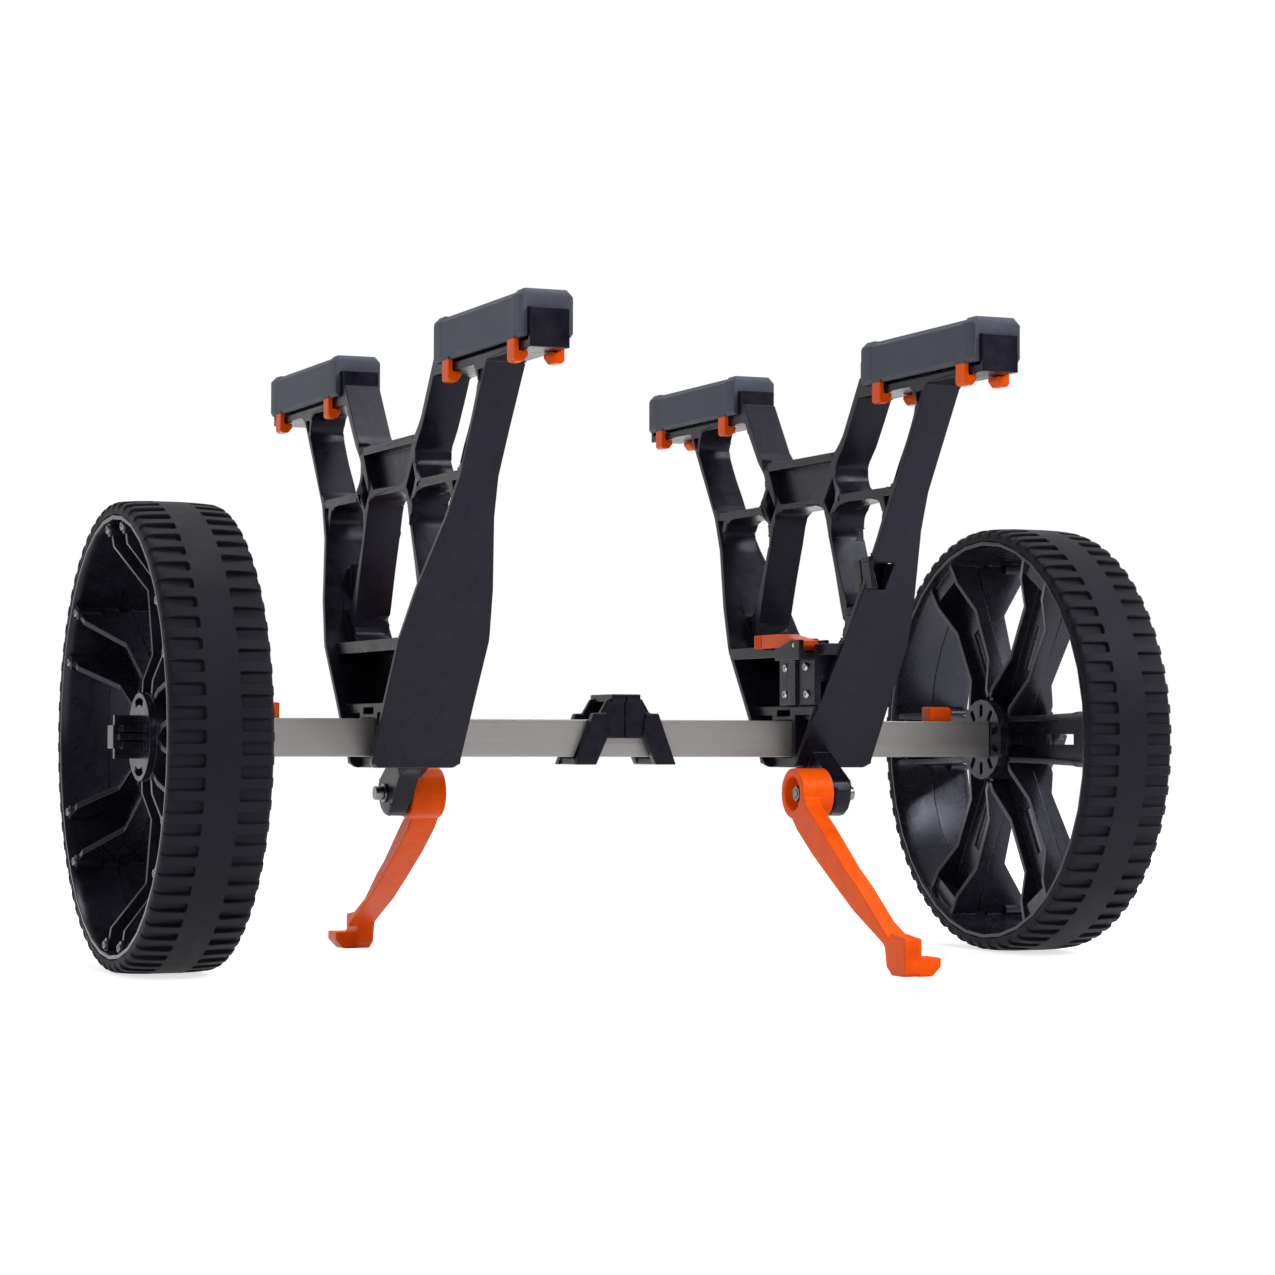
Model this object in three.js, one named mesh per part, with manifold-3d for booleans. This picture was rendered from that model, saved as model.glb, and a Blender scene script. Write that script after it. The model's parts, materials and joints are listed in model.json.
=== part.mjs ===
import * as THREE from "three";
import { mergeVertices } from "three/addons/utils/BufferGeometryUtils.js";
import Module from "manifold-3d";

const wasm = await Module();
wasm.setup();

// Driving dimensions, in millimetres. X runs along the axle, Z is up, zero is the axle's centre
const wheel_diameter = 304.8;
const tyre_width = 65.9;
const wheel_reach = 319.65;
const tube_side = 25.4;
const tube_wall = 2;
const frame_reach = 153.1;
const lattice_thickness = 25.4;
const lattice_length = 200;
const lattice_rise = 250;
const wall_thickness = 5.5;
const fit_gap = 0.3;
const cut_overrun = 2;
const hole_sides = 16;

const full_turn = Math.PI * 2;
const half_turn = Math.PI;
const quarter_turn = Math.PI / 2;

// Finishes
const black_plastic = { color: 0x17181b, roughness: 0.5, metalness: 0 };
const tyre_rubber = { color: 0x1a1b1f, roughness: 0.75, metalness: 0 };
const slate_pad = { color: 0x2b2f38, roughness: 0.6, metalness: 0 };
const orange_plastic = { color: 0xf06414, roughness: 0.45, metalness: 0 };
const satin_aluminium = { color: 0x9b9894, roughness: 0.4, metalness: 1 };
const bright_steel = { color: 0xb4b4b6, roughness: 0.3, metalness: 1 };

// Closed solids from three.js geometry
function solid(geometry) {
  geometry.deleteAttribute("normal");
  geometry.deleteAttribute("uv");
  const merged = mergeVertices(geometry);
  const mesh = new wasm.Mesh({
    numProp: 3,
    vertProperties: Float32Array.from(merged.attributes.position.array),
    triVerts: Uint32Array.from(merged.index.array),
  });
  return new wasm.Manifold(mesh);
}

function shape_of(outline) {
  return new THREE.Shape(outline.map(([across, up]) => new THREE.Vector2(across, up)));
}

function extruded(outline, depth, x_axis, y_axis, z_axis, origin) {
  const geometry = new THREE.ExtrudeGeometry(shape_of(outline), { depth, bevelEnabled: false });
  const placing = new THREE.Matrix4().makeBasis(x_axis, y_axis, z_axis);
  placing.setPosition(origin);
  return solid(geometry.applyMatrix4(placing));
}

const along = {
  x: new THREE.Vector3(1, 0, 0),
  y: new THREE.Vector3(0, 1, 0),
  z: new THREE.Vector3(0, 0, 1),
};

// An outline of [y, z] points drawn out along X
function along_x(outline, low, high) {
  return extruded(outline, high - low, along.y, along.z, along.x, new THREE.Vector3(low, 0, 0));
}

// An outline of [x, z] points drawn out along Y
function along_y(outline, low, high) {
  const back = along.y.clone().negate();
  return extruded(outline, high - low, along.x, along.z, back, new THREE.Vector3(0, high, 0));
}

function box([x_low, x_high], [y_low, y_high], [z_low, z_high]) {
  const geometry = new THREE.BoxGeometry(x_high - x_low, y_high - y_low, z_high - z_low);
  geometry.translate((x_low + x_high) / 2, (y_low + y_high) / 2, (z_low + z_high) / 2);
  return solid(geometry);
}

// A round bar along X through [y, z]
function round_bar(radius, low, high, [y, z], sides) {
  const geometry = new THREE.CylinderGeometry(radius, radius, high - low, sides);
  geometry.rotateZ(-quarter_turn);
  geometry.translate((low + high) / 2, y, z);
  return solid(geometry);
}

// A ring turned about the X axis from a closed loop of [x, radius] points
function turned(loop, sides) {
  const points = loop.map(([place, radius]) => new THREE.Vector2(radius, place));
  points.push(points[0].clone());
  const geometry = new THREE.LatheGeometry(points, sides);
  geometry.rotateZ(-quarter_turn);
  return solid(geometry);
}

function joined(...solids) {
  return solids.reduce((whole, piece) => whole.add(piece));
}

function cut(whole, ...tools) {
  return tools.reduce((left, tool) => left.subtract(tool), whole);
}

function turned_about_x(piece, angle) {
  const placing = new THREE.Matrix4().makeRotationX(angle);
  return piece.transform(placing.elements);
}

function mirrored_in_y(outline) {
  return outline.map(([y, z]) => [-y, z]).reverse();
}

function both_sides(outline) {
  return [outline, mirrored_in_y(outline)];
}

// A mesh that stands for one separate piece of the cart
function piece(name, finish, whole) {
  const mesh = whole.getMesh();
  const geometry = new THREE.BufferGeometry();
  geometry.setAttribute("position", new THREE.BufferAttribute(mesh.vertProperties, mesh.numProp));
  geometry.setIndex(new THREE.BufferAttribute(mesh.triVerts, 1));
  geometry.computeVertexNormals();
  const made = new THREE.Mesh(geometry, new THREE.MeshStandardMaterial(finish));
  made.name = name;
  return made;
}

// Axle: a square tube, slotted on top for the two release buttons
const tube_half = tube_side / 2;
const bore_half = tube_half - tube_wall;
const collar_face = wheel_reach - tyre_width / 2 - fit_gap;
const tube_end = collar_face - fit_gap;
const button_length = 18;
const button_width = 12;
const button_setback = 36.1;
const button_reach = tube_end - button_setback;
const button_stand = 10.3;
const button_travel = 4;
const button_foot = 2.6;
const spring_room = 5.6;
const button_span = [button_reach - button_length / 2, button_reach + button_length / 2];

function widened([low, high], gap) {
  return [low - gap, high + gap];
}

function mirrored([low, high]) {
  return [-high, -low];
}

function axle_tube() {
  const outside = box([-tube_end, tube_end], [-tube_half, tube_half], [-tube_half, tube_half]);
  const bore_end = tube_end + cut_overrun;
  const bore = box([-bore_end, bore_end], [-bore_half, bore_half], [-bore_half, bore_half]);
  const slot_half = button_width / 2 + fit_gap;
  const slots = [button_span, mirrored(button_span)].map((span) =>
    box(widened(span, fit_gap), [-slot_half, slot_half], [0, tube_half + cut_overrun]),
  );
  return cut(outside, bore, ...slots);
}

// Wheel: a rubber tyre on two screwed rim halves, drawn about its own middle, outboard towards +X
const wheel_radius = wheel_diameter / 2;
const tyre_half = tyre_width / 2;
const tyre_thickness = 9.1;
const tyre_shoulder = 5;
const tyre_crown = 1.2;
const tyre_lip = 3.5;
const wheel_sides = 36;
const hub_sides = 20;
const spoke_count = 6;
const rim_radius = wheel_radius - tyre_thickness - fit_gap;
const rim_half = tyre_half - 1.4 * fit_gap;
const rim_wall = 4;
const rim_bed = rim_radius - rim_wall;
const rim_edge_wall = 2.6;
const rim_flare_width = 6;
const hub_radius = 28.8;
const hub_barrel_radius = 19;
const spindle_radius = 8;
const bush_radius = 11.5;
const bush_bore = spindle_radius + fit_gap + 0.1 * fit_gap;
const hub_bore = bush_radius + fit_gap;
const spoke_seam = -8;
const cap_face = 14;
const cap_thickness = 4;
const cap_seat = cap_face - cap_thickness;
const rail_wall = 4;
const seam_step = 3;
const web_end = rim_bed + 0.35 * rim_wall;
const rail_spread = 10.6;
const rail_splay = 3.24 * (Math.PI / 180);
const spoke_steps = Array.from({ length: spoke_count }, (_, turn) => (turn * full_turn) / spoke_count);

function tyre() {
  const inner = wheel_radius - tyre_thickness;
  const shoulder_radius = wheel_radius - tyre_crown;
  const side_radius = wheel_radius - tyre_shoulder;
  const band_half = tyre_half / 3;
  const loop = [
    [-tyre_half, inner],
    [-tyre_half, side_radius],
    [-tyre_half + tyre_lip, shoulder_radius],
    [-band_half, wheel_radius],
    [band_half, wheel_radius],
    [tyre_half - tyre_lip, shoulder_radius],
    [tyre_half, side_radius],
    [tyre_half, inner],
  ];
  return turned(loop, wheel_sides);
}

function rim_band(outboard) {
  const seam = fit_gap / 2;
  const flare_start = rim_half - rim_flare_width;
  const loop = [
    [seam, rim_bed],
    [seam, rim_radius],
    [rim_half, rim_radius],
    [rim_half, rim_radius - rim_edge_wall],
    [flare_start, rim_bed],
  ];
  const placed = outboard ? loop : loop.map(([place, radius]) => [-place, radius]).reverse();
  return turned(placed, wheel_sides);
}

// Shares of the rim's radius and of its half width, from hub to rim edge
const outer_rail_top_shares = [
  [0.13, 0.29],
  [0.26, 0.26],
  [0.38, 0.06],
  [0.67, 0.14],
  [0.87, 0.83],
  [0.982, 0.9],
];
const inner_rail_shares = [
  [0.1, -0.84],
  [0.24, -0.82],
  [0.41, -0.56],
  [0.7, -0.54],
  [0.86, -0.84],
  [0.982, -0.9],
];

function radial_outline(shares, closing) {
  const drawn = shares.map(([out, across]) => [out * rim_radius, across * rim_half]);
  return [...drawn, ...closing];
}

// A wall from hub to rim: [radius, x] points, drawn out sideways and set off from the spoke's middle
function spoke_wall(outline, thickness, offset, lean) {
  const side_low = offset - thickness / 2;
  const side_high = offset + thickness / 2;
  const flat = along_y(outline.map(([radius, place]) => [place, radius]), side_low, side_high);
  return turned_about_x(flat, lean);
}

function spoke_pair(outline, thickness, spread, splay) {
  return [-1, 1].map((hand) => spoke_wall(outline, thickness, hand * spread, -hand * splay));
}

const boss_radius = 5;
const boss_place = rim_bed - boss_radius + 0.5 * rim_wall;
const boss_spread = 19;
const boss_top = rim_half - rim_edge_wall;
const boss_depth = 16;

function rim_outer_half() {
  const seam = fit_gap / 2;
  const closing = [
    [web_end, seam],
    [rim_bed - seam_step, seam],
    [rim_bed - seam_step, spoke_seam],
    [hub_bore + rail_wall, spoke_seam],
  ];
  const rail = radial_outline(outer_rail_top_shares, closing);
  const boss_tilt = Math.asin(boss_spread / boss_place);
  const bosses = [-1, 1].map((hand) => {
    const boss = round_bar(boss_radius, boss_top - boss_depth, boss_top, [0, boss_place], 8);
    return turned_about_x(boss, hand * boss_tilt);
  });
  const spoke = joined(...spoke_pair(rail, rail_wall, rail_spread, rail_splay), ...bosses);
  const spokes = spoke_steps.map((angle) => turned_about_x(spoke, angle));
  const barrel = turned(
    [
      [spoke_seam, hub_bore],
      [spoke_seam, hub_radius],
      [cap_seat - fit_gap, hub_radius],
      [cap_seat - fit_gap, hub_bore],
    ],
    hub_sides,
  );
  const bore = round_bar(hub_bore, spoke_seam - cut_overrun, cap_face, [0, 0], hub_sides);
  return cut(joined(rim_band(true), barrel, ...spokes), bore);
}

const web_wall = 3.2;
const inner_rail_spread = 13.6;
const inner_rail_splay = 1.6 * (Math.PI / 180);
const web_half_at_hub = 14;
const web_half_at_rim = 19;
const slit_half = 3.6;
const slit_start = 56;
const slit_end = 92;
const inner_flange_wall = 3.5;
const hub_inset = 4.6;
const hub_face = hub_inset - tyre_half;
const rib_wall = 3;

function rim_inner_half() {
  const seam = -fit_gap / 2;
  const web_top = spoke_seam - fit_gap;
  const closing = [
    [web_end, seam],
    [rim_bed - fit_gap, seam],
    [rim_bed - fit_gap, web_top],
    [hub_bore + rail_wall, web_top],
  ];
  const rail = radial_outline(inner_rail_shares, closing);
  const web_outline = [
    [-web_half_at_hub, hub_barrel_radius - rib_wall],
    [web_half_at_hub, hub_barrel_radius - rib_wall],
    [web_half_at_rim, web_end],
    [-web_half_at_rim, web_end],
  ];
  const plate = along_x(web_outline, web_top - web_wall, web_top);
  const slit = box(
    [web_top - web_wall - cut_overrun, web_top + cut_overrun],
    [-slit_half, slit_half],
    [slit_start, slit_end],
  );
  const shelf = along_x(
    [
      [-web_half_at_rim, rim_bed - 4 * rib_wall],
      [web_half_at_rim, rim_bed - 4 * rib_wall],
      [web_half_at_rim, web_end],
      [-web_half_at_rim, web_end],
    ],
    -0.8 * rim_half,
    web_top,
  );
  const spoke = joined(...spoke_pair(rail, rail_wall, inner_rail_spread, inner_rail_splay), plate, shelf);
  const spokes = spoke_steps.map((angle) => turned_about_x(cut(spoke, slit), angle));
  const flange_back = hub_face + inner_flange_wall;
  const barrel = turned(
    [
      [hub_face, hub_bore],
      [hub_face, hub_radius],
      [flange_back, hub_radius],
      [flange_back, hub_barrel_radius],
      [web_top, hub_barrel_radius],
      [web_top, hub_bore],
    ],
    hub_sides,
  );
  const bore = round_bar(hub_bore, hub_face - cut_overrun, web_top + cut_overrun, [0, 0], hub_sides);
  const behind_flange = turned(
    [
      [flange_back - rim_half, hub_barrel_radius],
      [flange_back - rim_half, hub_radius + cut_overrun],
      [flange_back + fit_gap, hub_radius + cut_overrun],
      [flange_back + fit_gap, hub_barrel_radius],
    ],
    hub_sides,
  );
  const webs = joined(...spokes).subtract(behind_flange);
  return cut(joined(rim_band(false), barrel, webs), bore);
}

const spindle_setback = 3;
const spindle_end = cap_seat - spindle_setback;
const bush_start = hub_face + fit_gap;

function hub_bush() {
  return turned(
    [
      [bush_start, bush_bore],
      [bush_start, bush_radius],
      [spindle_end, bush_radius],
      [spindle_end, bush_bore],
    ],
    hub_sides,
  );
}

// Hub cap: a slotted disc with a finned square plug, which stays inside the tyre's width
const plug_half = 14;
const plug_fin = 4.5;
const plug_notch = 6.5;
const plug_setback = 0.3;
const plug_face = tyre_half - plug_setback;
const plug_root = cap_face - cap_thickness / 2;
const cap_slot_low = 0.72 * hub_radius;
const cap_slot_high = 0.88 * hub_radius;
const cap_slot_half_angle = 0.42;

function hub_cap() {
  const disc = round_bar(hub_radius, cap_seat, cap_face, [0, 0], hub_sides);
  const core = plug_half - plug_notch;
  const fin = [-plug_fin / 2, plug_fin / 2];
  const whole = [-plug_half, plug_half];
  const plug = joined(
    box([plug_root, plug_face], [-core, core], [-core, core]),
    box([plug_root, plug_face - plug_fin / 2], whole, fin),
    box([plug_root, plug_face - plug_fin / 2], fin, whole),
    box([plug_root, plug_face - plug_fin], whole, [core - plug_fin, core]),
    box([plug_root, plug_face - plug_fin], whole, [-core, plug_fin - core]),
  );
  const slot_sides = 5;
  const arc = (radius, reverse) =>
    Array.from({ length: slot_sides }, (_, step) => {
      const share = reverse ? 1 - step / (slot_sides - 1) : step / (slot_sides - 1);
      const angle = quarter_turn + cap_slot_half_angle * (2 * share - 1);
      return [radius * Math.cos(angle), radius * Math.sin(angle)];
    });
  const crescent = along_x(
    [...arc(cap_slot_high, false), ...arc(cap_slot_low, true)],
    cap_seat - cut_overrun,
    cap_face + cut_overrun,
  );
  const slots = [0, 1, 2, 3].map((turn) => turned_about_x(crescent, turn * quarter_turn));
  return cut(joined(disc, plug), ...slots);
}

// Stub axle: a square shank inside the tube and a round spindle for the wheel
const shank_half = bore_half - fit_gap;
const shank_lead = 36;
const shank_start = button_reach - shank_lead;
const pocket_floor = button_foot - button_travel - spring_room;

function stub_axle() {
  const shank = box([shank_start, tube_end], [-shank_half, shank_half], [-shank_half, shank_half]);
  const spindle_tip = wheel_reach + spindle_end - fit_gap;
  const spindle = round_bar(spindle_radius, tube_end - cut_overrun, spindle_tip, [0, 0], hub_sides);
  const pocket_half = button_width / 2 + fit_gap;
  const pocket = box(
    widened(button_span, fit_gap),
    [-pocket_half, pocket_half],
    [pocket_floor, shank_half + cut_overrun],
  );
  return cut(joined(shank, spindle), pocket);
}

// Collar: the pierced disc between the tube's end and the wheel
const collar_wall = wheel_reach + hub_face - fit_gap - collar_face;
const collar_holes = 10;
const collar_hole_low = 0.56 * hub_radius;
const collar_hole_high = 0.88 * hub_radius;
const collar_hole_half = 2.1;

function hub_collar() {
  const bore = spindle_radius + fit_gap;
  const disc = turned(
    [
      [collar_face, bore],
      [collar_face, hub_radius],
      [collar_face + collar_wall, hub_radius],
      [collar_face + collar_wall, bore],
    ],
    hub_sides,
  );
  const hole = box(
    [collar_face - cut_overrun, collar_face + 0.6 * collar_wall],
    [-collar_hole_half, collar_hole_half],
    [collar_hole_low, collar_hole_high],
  );
  const holes = Array.from({ length: collar_holes }, (_, turn) =>
    turned_about_x(hole, (turn * full_turn) / collar_holes),
  );
  return cut(disc, ...holes);
}

function release_button() {
  const [near, far] = button_span;
  const top = tube_half + button_stand;
  const corner = 0.28 * button_stand;
  const outline = [
    [near, button_foot],
    [far, button_foot],
    [far, top - corner],
    [far - 0.3 * corner, top - 0.3 * corner],
    [far - corner, top],
    [near, top],
  ];
  return along_y(outline, -button_width / 2, button_width / 2);
}

const spring_radius = 4;
const spring_wire = 0.55;
const spring_turns = 3;

class SpringLine extends THREE.Curve {
  getPoint(share) {
    const foot = pocket_floor + fit_gap + spring_wire;
    const head = button_foot - fit_gap - spring_wire;
    const angle = share * spring_turns * full_turn;
    return new THREE.Vector3(
      button_reach + spring_radius * Math.cos(angle),
      spring_radius * Math.sin(angle),
      foot + share * (head - foot),
    );
  }
}

function button_spring() {
  const section = Array.from({ length: 5 }, (_, side) => [
    spring_wire * Math.cos((side * full_turn) / 5),
    spring_wire * Math.sin((side * full_turn) / 5),
  ]);
  const geometry = new THREE.ExtrudeGeometry(shape_of(section), {
    steps: spring_turns * 8,
    bevelEnabled: false,
    extrudePath: new SpringLine(),
  });
  return solid(geometry);
}

// Support frame: one moulding, drawn about its own middle with the lock towards -X and the kickstand
// towards -Y. Shares of the lattice's length and rise
const flange_line_shares = [
  [0.115, -0.08],
  [0.265, 0.096],
  [0.415, 0.268],
  [0.5, 0.38],
  [0.705, 0.638],
  [0.935, 0.914],
];
const arm_line_shares = [
  [0.95, 0.932],
  [0.5, 0.932],
  [0.49, 0.98],
  [0.463, 0.98],
  [0.335, 0.832],
  [0.28, 0.792],
];
const upper_oval_shares = [
  [0.339, 0.672],
  [0.68, 0.672],
  [0.72, 0.688],
  [0.75, 0.724],
  [0.828, 0.82],
  [0.855, 0.856],
  [0.86, 0.884],
  [0.832, 0.927],
  [0.458, 0.927],
  [0.414, 0.876],
  [0.345, 0.802],
  [0.3, 0.768],
  [0.286, 0.752],
  [0.286, 0.72],
  [0.3, 0.7],
];
const side_cell_shares = [
  [0.385, 0.356],
  [0.45, 0.356],
  [0.472, 0.38],
  [0.562, 0.492],
  [0.62, 0.568],
  [0.628, 0.608],
  [0.605, 0.636],
  [0.56, 0.648],
  [0.315, 0.648],
  [0.26, 0.618],
  [0.249, 0.567],
  [0.28, 0.51],
  [0.342, 0.408],
];
const centre_cell_shares = [
  [0.3, 0.264],
  [0.335, 0.28],
  [0.342, 0.32],
  [0.322, 0.36],
  [0.278, 0.46],
  [0.228, 0.56],
  [0.205, 0.612],
  [0.185, 0.64],
  [0.15, 0.651],
];
const diamond_shares = [
  [0.258, 0.72],
  [0.1975, 0.66],
  [0.235, 0.622],
  [0.2875, 0.67],
];
const top_gusset_shares = [
  [0.868, 0.91],
  [0.91, 0.91],
  [0.886, 0.878],
];
const middle_gusset_shares = [
  [0.64, 0.648],
  [0.682, 0.648],
  [0.655, 0.618],
];
const low_gusset_shares = [
  [0.395, 0.338],
  [0.43, 0.338],
  [0.402, 0.296],
];
const bridge_pocket_shares = [
  [0.179, 0.669],
  [0.25, 0.77],
];

function in_lattice(shares) {
  return shares.map(([out, up]) => [out * lattice_length, up * lattice_rise]);
}

const lattice_half = lattice_thickness / 2;
const flange_half = 30.8;
const shelf_top = 65;
const shelf_wall = 8;
const channel_half = tube_half + fit_gap;
const low_shelf_rise = 9.8;
const low_shelf_top = channel_half + low_shelf_rise;
const low_shelf_wall = 6.5;
const base_wall = 7;
const base_floor = -channel_half - base_wall;
const base_half = 25;
const web_half = 2;
const pocket_depth = 9;
const diamond_depth = 11;
const bridge_depth = 8.5;

// The flange's reach from the lattice's middle, against height, as shares of its widest reach and of the rise
const wide_edge_shares = [
  [1, -0.09],
  [1, 0.25],
  [0.84, 0.38],
  [0.513, 0.56],
  [0.412, 0.66],
  [0.412, 1.1],
];
const narrow_edge_shares = [
  [0.9, -0.09],
  [0.61, 0.26],
  [0.487, 0.44],
  [0.412, 0.66],
  [0.412, 1.1],
];

function edge_line(shares, hand) {
  return shares.map(([out, up]) => [hand * out * flange_half, up * lattice_rise]);
}

function flange(hand, inboard_shares) {
  const line = in_lattice(flange_line_shares);
  const inner = line.map(([y, z]) => [y - wall_thickness, z]).reverse();
  const strip = [...line, ...inner].map(([y, z]) => [hand * y, z]);
  const ordered = hand > 0 ? strip : strip.reverse();
  const wall = along_x(ordered, -flange_half, flange_half);
  const mask_line = [...edge_line(wide_edge_shares, 1), ...edge_line(inboard_shares, -1).reverse()];
  const mask = along_y(mask_line, -lattice_length, lattice_length);
  return wall.intersect(mask);
}

function shelf(top, wall, low, high) {
  const line = in_lattice(flange_line_shares);
  const reach = (height) => {
    const step = line.findIndex(([, z]) => z > height);
    const [y_low, z_low] = line[step - 1];
    const [y_high, z_high] = line[step];
    return y_low + ((height - z_low) / (z_high - z_low)) * (y_high - y_low) - wall_thickness / 2;
  };
  const right = [
    [reach(top - wall), top - wall],
    [reach(top), top],
  ];
  return along_x([...right, ...mirrored_in_y(right)], low, high);
}

// Rail: the square bar under a pad, grooved along both sides, with a solid end
const rail_side = 24;
const rail_half = lattice_half;
const rail_floor_share = 0.9268;
const rail_floor = rail_floor_share * lattice_rise;
const rail_top = rail_floor + rail_side;
const rail_start_share = 0.47;
const rail_start = rail_start_share * lattice_length;
const rail_length = 169.5;
const rail_end = rail_start + rail_length;
const rail_nose = 4;
const groove_depth = 3.5;
const groove_margin = 5;
const pad_setback = 8;
const pad_start = rail_start + pad_setback;
const pad_end = rail_end - rail_nose;

function rail(hand) {
  const span = hand > 0 ? [rail_start, rail_end] : [-rail_end, -rail_start];
  const bar = box([-rail_half, rail_half], span, [rail_floor, rail_top]);
  const groove_start = pad_start + 2 * groove_margin;
  const groove_span = hand > 0 ? [groove_start, pad_end] : [-pad_end, -groove_start];
  const grooves = [-1, 1].map((side) => {
    const face = side * rail_half;
    const heights = [rail_floor + groove_margin, rail_top - groove_margin];
    return box(widened([face, face], groove_depth), groove_span, heights);
  });
  return cut(bar, ...grooves);
}

// Kickstand pivot, on the frame's -Y side
const pivot_y = -48;
const pivot_z = -37.6;
const lug_radius = 16;
const lug_span = [-17.4, -3.1];
const bolt_radius = 3;

function pivot_lug() {
  const arc_steps = 7;
  const start = 0.09 * full_turn;
  const sweep = half_turn;
  const arc = Array.from({ length: arc_steps + 1 }, (_, step) => {
    const angle = half_turn - start + (sweep * step) / arc_steps;
    return [pivot_y + lug_radius * Math.cos(angle), pivot_z + lug_radius * Math.sin(angle)];
  });
  const outline = [[-channel_half - wall_thickness, 0.1 * base_floor], ...arc, [-channel_half, base_floor]];
  return along_x(outline, ...lug_span);
}

// Stow pocket: the notch in the kickstand side's flange that parks the folded foot
const stow_high_share = 0.474;
const stow_low_share = 0.404;
const stow_high = stow_high_share * lattice_rise;
const stow_low = stow_low_share * lattice_rise;
const stow_ledge_wall = 4;
const stow_lip_wall = 2.3;
const stow_high_span = [-17, 2.9];
const stow_low_span = [-12.1, 0.9];
const stow_ledge_end = -9.1;
const stow_depth = 12;

function stow_face_y(height) {
  const share = height / lattice_rise;
  const [low_y, low_z] = flange_line_shares[3];
  const [high_y, high_z] = flange_line_shares[4];
  const out = low_y + ((share - low_z) / (high_z - low_z)) * (high_y - low_y);
  return -out * lattice_length;
}

function stow_cut() {
  const outline = [
    [stow_low_span[0], stow_low],
    [stow_low_span[1], stow_low],
    [stow_high_span[1], stow_high],
    [stow_high_span[0] + stow_lip_wall, stow_high],
  ];
  const face = stow_face_y(stow_high);
  return along_y(outline, face - cut_overrun, stow_face_y(stow_low) + stow_depth);
}

// The walls round the stow pocket and behind it, inside the frame's side cell
function stow_case() {
  const wall = stow_lip_wall;
  const outline = [
    [stow_low_span[0] - wall, stow_low - wall],
    [stow_low_span[1] + wall, stow_low - wall],
    [stow_high_span[1] + wall, stow_high + wall],
    [stow_high_span[0], stow_high + wall],
  ];
  const low_face = stow_face_y(stow_low);
  return along_y(outline, low_face + wall_thickness / 2, low_face + stow_depth + wall);
}

function stow_lip() {
  const face = stow_face_y(stow_high);
  const lip = along_y(
    [
      [stow_low_span[0] - stow_lip_wall, stow_low],
      [stow_low_span[0] + stow_lip_wall, stow_low],
      [stow_high_span[0] + stow_lip_wall, stow_high + stow_ledge_wall / 2],
      [stow_high_span[0], stow_high + stow_ledge_wall / 2],
    ],
    face,
    face + stow_depth,
  );
  const ledge = box(
    [stow_high_span[0], stow_ledge_end],
    [face, face + stow_depth],
    [stow_high, stow_high + stow_ledge_wall],
  );
  return joined(lip, ledge);
}

// Lock: a screwed housing on the frame's inboard side with a lever, a pin and a clamp shoe
const lock_face = -30.1;
const lock_back = -web_half - fit_gap;
const lock_span = [-60, -4];
const lock_floor = low_shelf_top + fit_gap;
const lock_top = 61.8;
const lock_wall = 2.6;
const shoe_face = -20.1;
const shoe_width = 12;
const shoe_x = [shoe_face, shoe_face + shoe_width];
const shoe_post_y = [-33, -21];
const shoe_foot_y = [-33, -7];
const shoe_foot_height = 10.5;
const shoe_foot_top = tube_half + fit_gap + shoe_foot_height;
const shoe_lift = 6.1;
const shoe_head_room = 1.1;
const shoe_post_top = lock_top - lock_wall - shoe_lift - shoe_head_room;
const tower_half = 6.5;
const lever_span = [-38.1, -23.1];
const ear_wall = 3.6;
const ear_gap = 0.4;
const ear_spans = [
  [lever_span[0] - ear_gap - ear_wall, lever_span[0] - ear_gap],
  [lever_span[1] + ear_gap, lever_span[1] + ear_gap + ear_wall],
];
const ear_radius = 3.8;
const lever_clear = 1.5;
const lever_floor = lock_top + lever_clear;
const lever_height = 9.5;
const lever_top = lever_floor + lever_height;
const lever_tip = 21;
const lever_slope_start = -20;
const lever_groove = 1;
const lever_pivot_y = -50;
const lever_pivot_rise = 0.7;
const lever_pivot_z = lever_floor + lever_pivot_rise;
const lever_boss_radius = 3.6;
const pin_radius = 1.6;
const tongue_span = [-16.1, -12.1];
const tongue_margin = 3;
const tongue_floor = shoe_post_top + shoe_head_room;
const screw_radius = 1.8;
const screw_head_radius = 3.7;
const screw_head_height = 1.6;
const screw_reach = 3;
const screw_sides = 8;
const screw_place_shares = [
  [0.202, 0.674],
  [0.768, 0.682],
  [0.189, 0.199],
  [0.793, 0.196],
];
const screw_places = screw_place_shares.map(([along_lock, up]) => [
  lock_span[1] - along_lock * (lock_span[1] - lock_span[0]),
  lock_floor + up * (lock_top - lock_floor),
]);

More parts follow.
